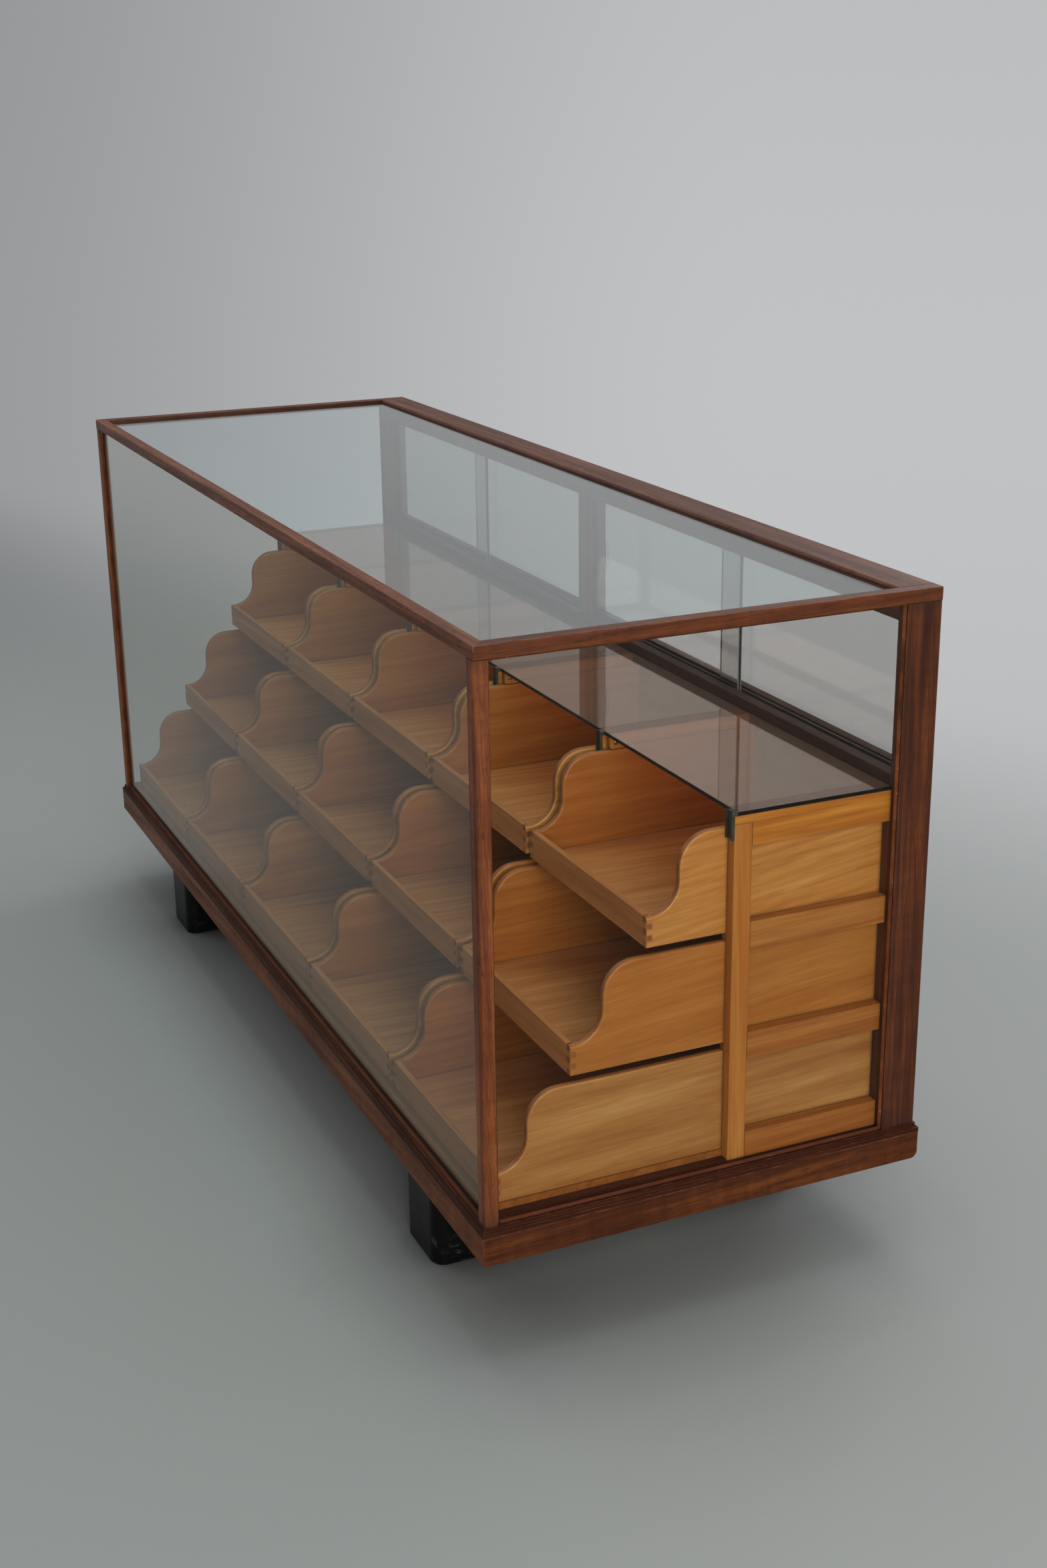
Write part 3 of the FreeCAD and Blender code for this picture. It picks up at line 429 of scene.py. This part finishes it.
front_look = dict(mahogany_look, dark=(0.080, 0.0225, 0.0080, 1), middle=(0.140, 0.0400, 0.0120, 1),
                  light=(0.205, 0.0640, 0.0200, 1), fibre_dark=(0.60, 0.56, 0.54, 1),
                  fibre_light=(1.26, 1.24, 1.22, 1))
front_post_look = dict(front_look, dark=(0.104, 0.0290, 0.0095, 1), middle=(0.184, 0.0525, 0.0145, 1),
                       light=(0.270, 0.0840, 0.0240, 1))
front_post_wood = timber("front_post_wood", "z", (0.2, 0.07, 0.05), (1.5, 2.0), front_post_look,
                         dark_marks=post_darkening)
front_rail_wood = timber("front_rail_wood", "x", (0.3, 0.06, -0.10), (1.2, 1.6), front_look)
rear_post_look = dict(mahogany_look, streak=0.013, dark=(0.036, 0.0100, 0.0035, 1),
                      middle=(0.074, 0.0195, 0.0055, 1), light=(0.150, 0.0430, 0.0110, 1),
                      fibre_dark=(0.58, 0.55, 0.53, 1), fibre_light=(1.22, 1.20, 1.18, 1))
rear_post_wood = timber("rear_post_wood", "z", (0.3, 0.03, -0.25), (1.0, 1.2), rear_post_look,
                        dark_marks=rear_post_darkening)


def dress(names, material):
    """Puts one finish on CAD pieces."""
    for name in names:
        nodes[name].data.materials.clear()
        nodes[name].data.materials.append(material)


sill_look = dict(mahogany_look, dark=(0.060, 0.026, 0.015, 1), middle=(0.100, 0.042, 0.024, 1),
                 light=(0.145, 0.062, 0.036, 1), specular=0.10, coat=0.0, gloss=(0.62, 0.50), rub_depth=0.35)
door_play = 0.0012                   # just over the air between a door and each side of its groove
groove_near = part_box("door_left_inner")[0].y - door_play
groove_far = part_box("door_left_outer")[1].y + door_play


def sill_inner_darkening(tree, x, y, z):
    """Darkens the sill's broad inner part, and not the narrow parts beside the grooves."""
    return reckon(tree, "MULTIPLY", reckon(tree, "LESS_THAN", y, groove_near), 0.72)


sill_wood = timber("sill_wood", "x", (0.3, 0.06, -0.10), (1.2, 1.6), sill_look, dark_marks=sill_inner_darkening)

dress(("top_rail_rear", "door_head"), along_counter)
dress(("top_rail_front",), front_rail_wood)
dress(("door_sill",), sill_wood)
dress(("top_rail_ends",), along_depth)
dress(("centre_post",), along_post)
dress(("post_front_left", "post_front_right"), front_post_wood)
dress(("post_rear_left", "post_rear_right"), rear_post_wood)


def finish_faces(name, material, chosen):
    """Gives a further finish to those faces of a CAD piece that chosen(centre, normal) picks."""
    mesh = nodes[name].data
    mesh.materials.append(material)
    for face in mesh.polygons:
        if chosen(face.center, face.normal):
            face.material_index = len(mesh.materials) - 1


# The door grooves in the sill and head are coloured near-black.
groove_black, tree = blank_material("groove_black")
spot = wire(tree, "ShaderNodeTexCoord")
groove_mottle = wire(tree, "ShaderNodeTexNoise", Vector=spot.outputs["Object"], Scale=120.0, Detail=4.0)
groove_dark_colour = ramp(tree, groove_mottle.outputs["Fac"], (0.35, (0.010, 0.007, 0.006, 1)), (0.75, (0.035, 0.026, 0.021, 1)))
groove_finish = wire(tree, "ShaderNodeBsdfPrincipled", Base_Color=groove_dark_colour, Roughness=0.42)
wire(tree, "ShaderNodeOutputMaterial", Surface=groove_finish.outputs[0])

sill_low, sill_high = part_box("door_sill")
head_low, head_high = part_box("door_head")
finish_faces("door_sill", groove_black, lambda centre, normal: groove_near < centre.y < groove_far
             and centre.z < sill_high.z - 0.0002 and centre.z > sill_low.z + 0.005)
finish_faces("door_head", groove_black, lambda centre, normal: groove_near < centre.y < groove_far
             and centre.z > head_low.z + 0.0002 and centre.z < head_high.z - 0.001)


# --- Plinth and base moulding ---
# Mahogany boards under a stepped moulding, rubbed pale along the crest, and dark in the hollow with wax and
# painted shade.
# The front and rear strips run along the counter, the end strips along its depth.

plinth_look = dict(mahogany_look, dark=(0.050, 0.0135, 0.0046, 1), middle=(0.088, 0.0245, 0.0070, 1),
                   light=(0.165, 0.050, 0.0115, 1), ring=0.022, streak=0.017, mottle=(0.70, 0.66, 0.64, 1),
                   specular=0.12, rub_depth=0.75, corner_reach=0.008)
plinth_front_look = dict(plinth_look, dark=(0.095, 0.025, 0.008, 1), middle=(0.165, 0.048, 0.013, 1),
                         light=(0.25, 0.078, 0.022, 1))
plinth_along = timber("plinth_along_counter", "x", (0.9, 0.03, -0.06), (2.0, 2.4), plinth_front_look)
plinth_deep = timber("plinth_along_depth", "y", (0.1, -0.09, -0.04), (2.6, 2.0), plinth_look)
moulding_look = dict(mahogany_look, dark=(0.020, 0.0055, 0.0022, 1), middle=(0.042, 0.0105, 0.0036, 1),
                     light=(0.075, 0.0190, 0.0060, 1), specular=0.10, coat=0.0, gloss=(0.60, 0.48),
                     rub_depth=0.85, rubbed=(0.170, 0.058, 0.024, 1), rub_width=0.0016)
moulding_along = timber("moulding_along_counter", "x", (0.5, 0.02, -0.05), (1.0, 1.4), moulding_look)
moulding_deep = timber("moulding_along_depth", "y", (0.4, -0.03, -0.05), (1.3, 1.0), moulding_look)

plinth_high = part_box("plinth_boards")[1]


def on_end_strip(centre, normal):
    """True on the end boards, which meet the front and rear ones on a mitre."""
    return plinth_high.x - abs(centre.x) < plinth_high.y - abs(centre.y)


dress(("plinth_boards",), plinth_along)
finish_faces("plinth_boards", plinth_deep, on_end_strip)
dress(("base_moulding",), moulding_along)
finish_faces("base_moulding", moulding_deep, on_end_strip)


# --- Feet ---
# Four solid blocks with rounded corners, fixed under the plinth and set in from its edge. They are painted
# black, and knocked and scuffed to bare wood near the floor.

foot_black, tree = blank_material("foot_black")
spot = wire(tree, "ShaderNodeTexCoord")
edges = use_group(tree, rub_and_shade_group, Vector=spot.outputs["Object"], Width=0.004, Corner_Reach=0.02)
height = wire(tree, "ShaderNodeSeparateXYZ", Vector=spot.outputs["Object"])
low = wire(tree, "ShaderNodeMapRange", Value=height.outputs["Z"], From_Min=0.085, From_Max=0.0)
scuff_stretch = wire(tree, "ShaderNodeMapping", Vector=spot.outputs["Object"], Scale=(1, 1, 2.2))
scuffs = wire(tree, "ShaderNodeTexNoise", Vector=scuff_stretch.outputs[0], Scale=30.0, Detail=7.0,
              Roughness=0.72, Distortion=1.4)
scuffed = wire(tree, "ShaderNodeMapRange", Value=scuffs.outputs["Fac"], From_Min=0.58, From_Max=0.66)
bare = reckon(tree, "MULTIPLY", scuffed.outputs[0], low.outputs[0])
bare = reckon(tree, "MAXIMUM", bare, reckon(tree, "MULTIPLY", edges["Rubbed"], low.outputs[0]))
paint_colour = ramp(tree, scuffs.outputs["Fac"], (0.3, (0.0015, 0.0015, 0.0016, 1)),
                    (0.7, (0.0055, 0.0055, 0.006, 1)))
paint_colour = mixed(tree, "MIX", bare, paint_colour, (0.085, 0.060, 0.050, 1))
dull = wire(tree, "ShaderNodeMapRange", Value=scuffs.outputs["Fac"], To_Min=0.20, To_Max=0.45)
brushed = wire(tree, "ShaderNodeBump", Height=scuffs.outputs["Fac"], Strength=0.25, Distance=0.0008)
paint = wire(tree, "ShaderNodeBsdfPrincipled", Base_Color=paint_colour, Roughness=dull.outputs[0],
             Normal=brushed.outputs[0])
paint.inputs["Specular IOR Level"].default_value = 0.14
wire(tree, "ShaderNodeOutputMaterial", Surface=paint.outputs[0])
dress(("feet",), foot_black)


# --- Glass ---
# Old sheet glass in the frame, the doors and the shelf, each with a tint of its own. Lamplight passes through
# a pane unbent. The shelf's polished edges look nearly black because they trap the light, and the doors'
# ground edges are pale with a dark line along the middle.


def sheet_glass(name, tint, ior, sheen=(1, 1, 1, 1), clarity=1.0):
    """A pane's glass: tint for what shows through, ior for its shine, sheen for the shine's colour."""
    material, tree = blank_material(name)
    glass = wire(tree, "ShaderNodeBsdfPrincipled", Base_Color=tint, Roughness=0.0, IOR=ior)
    glass.inputs["Transmission Weight"].default_value = clarity
    glass.inputs["Specular Tint"].default_value = sheen
    clear = wire(tree, "ShaderNodeBsdfTransparent", Color=tint)
    path = wire(tree, "ShaderNodeLightPath")
    lit = reckon(tree, "MAXIMUM", path.outputs["Is Shadow Ray"], path.outputs["Is Diffuse Ray"])
    either = wire(tree, "ShaderNodeMixShader", Fac=lit, i1=glass.outputs[0], i2=clear.outputs[0])
    wire(tree, "ShaderNodeOutputMaterial", Surface=either.outputs[0])
    return material


top_pane = sheet_glass("top_pane", (0.84, 0.960, 0.965, 1), 1.50)
front_pane = sheet_glass("front_pane", (0.80, 0.83, 0.79, 1), 1.215, (1.0, 0.82, 0.66, 1))
end_pane = sheet_glass("end_pane", (0.955, 0.955, 0.95, 1), 1.17)
door_pane = sheet_glass("door_pane", (0.635, 0.622, 0.60, 1), 1.40)
shelf_plate = sheet_glass("shelf_plate", (0.80, 0.60, 0.47, 1), 1.95, (1.0, 0.74, 0.60, 1), 0.93)
dress(("top_glass",), top_pane)
dress(("front_glass",), front_pane)
dress(("left_glass", "right_glass"), end_pane)
doors = ("door_left_inner", "door_left_outer", "door_right_inner", "door_right_outer")
dress(doors, door_pane)
dress(("shelf_glass",), shelf_plate)

shelf_edge, tree = blank_material("shelf_edge")
spot = wire(tree, "ShaderNodeTexCoord")
ripple = wire(tree, "ShaderNodeTexNoise", Vector=spot.outputs["Object"], Scale=60.0, Detail=2.0)
depth = ramp(tree, ripple.outputs["Fac"], (0.3, (0.003, 0.0025, 0.002, 1)), (0.8, (0.010, 0.008, 0.006, 1)))
polish = wire(tree, "ShaderNodeBsdfPrincipled", Base_Color=depth, Roughness=0.25)
polish.inputs["Specular IOR Level"].default_value = 0.08
wire(tree, "ShaderNodeOutputMaterial", Surface=polish.outputs[0])
finish_faces("shelf_glass", shelf_edge, lambda centre, normal: abs(normal.z) < 0.95)

door_edge, tree = blank_material("door_edge")
spot = wire(tree, "ShaderNodeTexCoord")
along = wire(tree, "ShaderNodeSeparateXYZ", Vector=spot.outputs["Object"]).outputs["Y"]
cores = [near(tree, along, sum(corner.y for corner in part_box(name)) / 2, 0.0014) for name in doors[:2]]
ground = mixed(tree, "MIX", reckon(tree, "MAXIMUM", *cores), (0.20, 0.205, 0.19, 1),
               (0.012, 0.015, 0.013, 1))
polish = wire(tree, "ShaderNodeBsdfPrincipled", Base_Color=ground, Roughness=0.35)
polish.inputs["Specular IOR Level"].default_value = 0.2
wire(tree, "ShaderNodeOutputMaterial", Surface=polish.outputs[0])
for name in doors:
    finish_faces(name, door_edge, lambda centre, normal: abs(normal.x) > 0.5)


# --- Glazing putty ---
# Linseed putty round the outside of the front and end panes. It is stained as brown as the frame, pale and
# chalky where it has crumbled, and darkest along the foot of the panes.

low_putty_reach = (0.204, 0.212)     # between these heights the darker putty at the foot of the panes ends

old_putty, tree = blank_material("old_putty")
spot = wire(tree, "ShaderNodeTexCoord")
crumbs = wire(tree, "ShaderNodeTexNoise", Vector=spot.outputs["Object"], Scale=210.0, Detail=6.0,
              Roughness=0.75)
runs = wire(tree, "ShaderNodeTexNoise", Vector=spot.outputs["Object"], Scale=24.0, Detail=4.0, Roughness=0.6)
stained = ramp(tree, runs.outputs["Fac"], (0.35, (0.060, 0.017, 0.007, 1)), (0.65, (0.150, 0.042, 0.014, 1)))
bare_chalk = wire(tree, "ShaderNodeMapRange", Value=crumbs.outputs["Fac"], From_Min=0.61, From_Max=0.66)
exposed = wire(tree, "ShaderNodeMapRange", Value=runs.outputs["Fac"], From_Min=0.50, From_Max=0.60)
chalk_spots = reckon(tree, "MULTIPLY", bare_chalk.outputs[0], exposed.outputs[0])
putty_colour = mixed(tree, "MIX", chalk_spots, stained, (0.30, 0.26, 0.235, 1))
height = wire(tree, "ShaderNodeSeparateXYZ", Vector=spot.outputs["Object"])
low_putty = reckon(tree, "MULTIPLY", faded(tree, height.outputs["Z"], *low_putty_reach), 0.7)
putty_colour = mixed(tree, "MIX", low_putty, putty_colour, (0.070, 0.022, 0.012, 1))
rough_putty = wire(tree, "ShaderNodeBump", Height=crumbs.outputs["Fac"], Strength=0.8, Distance=0.0012)
putty = wire(tree, "ShaderNodeBsdfPrincipled", Base_Color=putty_colour, Roughness=0.8,
             Normal=rough_putty.outputs[0])
putty.inputs["Specular IOR Level"].default_value = 0.10
wire(tree, "ShaderNodeOutputMaterial", Surface=putty.outputs[0])
dress(("glazing_putty",), old_putty)


# --- Carcass ---
# Front stiles, rails, runners and base board of a pale hardwood, varnished honey. Stiles run upright, rails
# and runners along the depth, the base board along the counter. The rear stiles and the base board's rear
# edge are mahogany, since they show between the drawer fronts and under them.

honey_look = {
    "ring": 0.013, "wander": 2.0, "streak": 0.016, "fibre": 0.0034,
    "dark": (0.30, 0.098, 0.010, 1), "middle": (0.345, 0.130, 0.017, 1), "light": (0.405, 0.180, 0.034, 1),
    "late": (0.90, 0.82, 0.72, 1), "mottle": (0.995, 0.99, 0.985, 1),
    "fibre_dark": (0.85, 0.80, 0.73, 1), "fibre_light": (1.09, 1.10, 1.12, 1),
    "pore": (0.20, 0.075, 0.015, 1), "pore_depth": 0.05,
    "end_grain": (0.55, 0.44, 0.36, 1), "end_depth": 0.8,
    "rubbed": (0.17, 0.065, 0.022, 1), "rub_width": 0.0026, "rub_depth": 0.65,
    # The next colour is the dark of wax and painted shade in the corners, also used for the darkened places.
    "wax_and_shade": (0.075, 0.026, 0.006, 1), "corner_reach": 0.006, "corner_depth": 0.6,
    "tone_dark": (0.97, 0.90, 0.80, 1), "tone_light": (1.05, 1.09, 1.16, 1),
    "gloss": (0.52, 0.42), "specular": 0.25, "coat": 0.03, "coat_rough": 0.25, "bump": 0.0,
}
column_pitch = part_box("tray_bottom_2")[0].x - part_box("tray_bottom_1")[0].x
row_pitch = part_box("tray_middle_1")[0].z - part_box("tray_bottom_1")[0].z
first_low, first_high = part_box("tray_bottom_1")
column_start = (first_low.x + first_high.x - column_pitch) / 2
row_start = (first_low.z + first_high.z - row_pitch) / 2
cells = {"start": (column_start, -2.0, row_start), "pitch": (column_pitch, 4.0, row_pitch)}
between = {"start": (column_start - column_pitch / 2, -2.0, row_start - row_pitch / 2),
           "pitch": (column_pitch, 4.0, row_pitch)}

stile_wood = timber("stile_wood", "z", (0.2, 0.05, 0.08), (1.4, 1.0), honey_look, between["start"],
                    (column_pitch, 4.0, 4.0))
rail_look = dict(honey_look, dark=(0.205, 0.060, 0.006, 1), middle=(0.275, 0.094, 0.012, 1),
                 light=(0.335, 0.136, 0.026, 1), streak=0.012)
rail_wood = timber("rail_wood", "y", (0.3, 0.04, -0.07), (2.0, 1.6), rail_look, **between)
kicker_look = dict(honey_look, dark=(0.25, 0.074, 0.005, 1), middle=(0.350, 0.125, 0.008, 1),
                   light=(0.43, 0.178, 0.017, 1), streak=0.009)
kicker_wood = timber("kicker_wood", "y", (0.4, 0.05, -0.06), (1.2, 1.4), kicker_look, **between)
runner_wood = timber("runner_wood", "y", (0.5, 0.03, -0.05), (1.0, 1.2), honey_look, **cells)
base_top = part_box("base_board")[1].z
behind_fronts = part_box("drawer_front_bottom_1")[0].y


def base_dark_marks(tree, x, y, z):
    """The dark line under the lowest trays, and the darker strip below the drawer fronts."""
    line = reckon(tree, "MULTIPLY", near(tree, z, base_top, 0.0009), 0.75)
    strip = reckon(tree, "MULTIPLY", reckon(tree, "GREATER_THAN", y, behind_fronts), 0.85)
    return reckon(tree, "MAXIMUM", line, strip)


base_wood = timber("base_wood", "x", (0.1, 0.03, -0.05), (1.0, 1.0), dict(honey_look, corner_depth=0.1),
                   dark_marks=base_dark_marks)
dress(("front_stiles",), stile_wood)
dress(("divider_rails",), rail_wood)
kicker_reach = 0.035                 # the kickers are within this of the top trays' upper edge
kicker_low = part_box("tray_top_1")[1].z - kicker_reach
finish_faces("divider_rails", kicker_wood, lambda centre, normal: centre.z > kicker_low)
dress(("drawer_runners",), runner_wood)
dress(("base_board",), base_wood)
finish_faces("base_board", along_counter, lambda centre, normal: normal.y > 0.5)
dress(("rear_stiles",), along_post)


# --- Trays ---
# Two scooped sides, a low lip let into them with box joints, and a bottom in grooves. The grain of the sides
# and the bottom runs back, the lip's across, so the joint shows long grain and end grain by turns.

fingers = 5
row_looks = {"bottom": dict(honey_look, dark=(0.235, 0.090, 0.016, 1), middle=(0.300, 0.134, 0.030, 1),
                            light=(0.37, 0.190, 0.055, 1), streak=0.022, ring=0.020, wander=3.2),
             "middle": dict(honey_look, dark=(0.25, 0.078, 0.008, 1), middle=(0.295, 0.104, 0.013, 1),
                            light=(0.335, 0.132, 0.021, 1), streak=0.030, late=(0.95, 0.90, 0.84, 1)),
             "top": dict(honey_look, dark=(0.335, 0.132, 0.022, 1), middle=(0.390, 0.168, 0.033, 1),
                         light=(0.445, 0.212, 0.052, 1), streak=0.009)}
row_lean = {"bottom": 3.0, "middle": 5.0, "top": 8.0}
tray_side_wood = {row: timber(f"tray_side_wood_{row}", "y", (0.2, 0.06, -0.09), (row_lean[row], 2.8), look,
                              **cells)
                  for row, look in row_looks.items()}
tray_lip_look = dict(honey_look, dark=(0.27, 0.084, 0.015, 1), middle=(0.335, 0.112, 0.021, 1),
                     light=(0.39, 0.145, 0.032, 1), end_grain=(0.50, 0.40, 0.36, 1),
                     rubbed=(0.46, 0.27, 0.16, 1), rub_width=0.0018, rub_depth=0.7)
tray_lip_wood = timber("tray_lip_wood", "x", (0.6, 0.04, -0.06), (1.6, 1.8), tray_lip_look, **cells)
# The scooped top edges of the sides are a darker copy of the honey wood, without coat: painted shade on edges
# that face away from the light.
tray_edge_shaded_look = dict(honey_look, dark=(0.17, 0.052, 0.009, 1), middle=(0.225, 0.076, 0.014, 1),
                      light=(0.28, 0.105, 0.024, 1), streak=0.012, gloss=(0.56, 0.46), coat=0.0, specular=0.3)
tray_edge_shaded_wood = timber("tray_edge_shaded_wood", "y", (0.2, 0.06, -0.09), (2.4, 2.8), tray_edge_shaded_look, **cells)
# The inner faces of the sides are a darker copy of the honey wood: painted shade inside the trays.
tray_inside_shaded_look = dict(honey_look, dark=(0.25, 0.073, 0.009, 1), middle=(0.295, 0.095, 0.012, 1),
                        light=(0.345, 0.126, 0.020, 1), streak=0.024)
tray_inside_shaded_wood = timber("tray_inside_shaded_wood", "y", (0.3, 0.05, -0.07), (2.0, 2.2), tray_inside_shaded_look, **cells)
tray_bottom_look = dict(honey_look, dark=(0.34, 0.124, 0.032, 1), middle=(0.420, 0.160, 0.045, 1),
                        light=(0.50, 0.212, 0.068, 1), streak=0.014)
tray_bottom_wood = timber("tray_bottom_wood", "y", (0.4, 0.08, -0.03), (1.5, 2.5), tray_bottom_look, **cells)
side_thickness = 0.010
side_groove = 0.004                  # how deep the bottom is let into the sides
lip_height, lip_thickness = 0.040, 0.008
bottom_rise, bottom_thickness = 0.003, 0.005
lip_level = 0.012                    # above this a side's sloping edge counts as its scoop
fit, inner_fit = 0.00005, 0.0005     # how near a plane a face counts as on it, or clear of it

for row in ("bottom", "middle", "top"):
    for column in range(1, 6):
        name = f"tray_{row}_{column}"
        low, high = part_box(name)
        finger = lip_height / fingers

        def on_lip(centre, normal, low=low, high=high):
            in_side = min(centre.x - low.x, high.x - centre.x) < side_thickness + fit
            in_lip = centre.y < low.y + lip_thickness + fit
            odd_finger = int((centre.z - low.z) / finger) % 2 == 1
            return in_lip and (not in_side or odd_finger)

        def on_bottom(centre, normal, low=low, high=high):
            in_side = min(centre.x - low.x, high.x - centre.x) < side_thickness - inner_fit
            in_lip = centre.y < low.y + lip_thickness - inner_fit
            above = centre.z - low.z - bottom_rise
            return -0.0001 < above < bottom_thickness + 0.0001 and not in_side and not in_lip

        def on_inside(centre, normal, low=low, high=high):
            middle = (low.x + high.x) / 2
            faces_in = normal.x * (middle - centre.x) > 0.3 * abs(middle - centre.x)
            groove_floor = side_thickness - side_groove - inner_fit
            return faces_in and min(centre.x - low.x, high.x - centre.x) > groove_floor

        def on_edge(centre, normal, low=low, high=high):
            in_side = min(centre.x - low.x, high.x - centre.x) < side_thickness + fit
            return in_side and abs(normal.x) < 0.8 and normal.z > -0.2 and centre.z > low.z + lip_level

        dress((name,), tray_side_wood[row])
        finish_faces(name, tray_inside_shaded_wood, on_inside)
        finish_faces(name, tray_edge_shaded_wood, on_edge)
        finish_faces(name, tray_lip_wood, on_lip)
        finish_faces(name, tray_bottom_wood, on_bottom)


# --- Drawer fronts ---
# Mahogany fronts on the staff side, fixed to the rear ends of the trays, each with a turned knob in its
# middle. Their figure runs along the counter.

drawer_front_look = dict(mahogany_look, tone_dark=(0.85, 0.82, 0.80, 1), tone_light=(1.12, 1.12, 1.12, 1),
                         ring=0.020, streak=0.014)
drawer_front_wood = timber("drawer_front_wood", "x", (0.3, 0.12, -0.04), (2.2, 2.6), drawer_front_look,
                           **cells)
knob_wood = timber("knob_wood", "y", (0.1, 0.03, 0.02), (0.0, 0.0), dict(drawer_front_look, ring=0.005),
                   **cells)
face_of_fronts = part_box("rear_stiles")[1].y
for row in ("bottom", "middle", "top"):
    for column in range(1, 6):
        name = f"drawer_front_{row}_{column}"
        dress((name,), drawer_front_wood)
        finish_faces(name, knob_wood, lambda centre, normal: centre.y > face_of_fronts + 0.0001)


# --- Shelf clips and kicker screws ---
# Metal channels on the faces of the front stiles, gone dull olive, with a tab that stops the glass shelf, and
# slotted brass screws through the kickers into the rails, gone brown.

clip_metal, tree = blank_material("clip_metal")
spot = wire(tree, "ShaderNodeTexCoord")
tarnish = wire(tree, "ShaderNodeTexNoise", Vector=spot.outputs["Object"], Scale=90.0, Detail=5.0,
               Roughness=0.65)
clip_colour = ramp(tree, tarnish.outputs["Fac"], (0.3, (0.016, 0.015, 0.009, 1)),
                   (0.7, (0.060, 0.056, 0.036, 1)))
clip_rough = wire(tree, "ShaderNodeMapRange", Value=tarnish.outputs["Fac"], To_Min=0.35, To_Max=0.6)
clip = wire(tree, "ShaderNodeBsdfPrincipled", Base_Color=clip_colour, Metallic=0.6,
            Roughness=clip_rough.outputs[0])
wire(tree, "ShaderNodeOutputMaterial", Surface=clip.outputs[0])
dress(("shelf_clips",), clip_metal)

screw_brass, tree = blank_material("screw_brass")
spot = wire(tree, "ShaderNodeTexCoord")
tarnish = wire(tree, "ShaderNodeTexNoise", Vector=spot.outputs["Object"], Scale=300.0, Detail=4.0)
screw_colour = ramp(tree, tarnish.outputs["Fac"], (0.3, (0.14, 0.09, 0.045, 1)), (0.7, (0.40, 0.29, 0.15, 1)))
screw = wire(tree, "ShaderNodeBsdfPrincipled", Base_Color=screw_colour, Metallic=1.0, Roughness=0.38)
wire(tree, "ShaderNodeOutputMaterial", Surface=screw.outputs[0])
dress(("kicker_screws",), screw_brass)
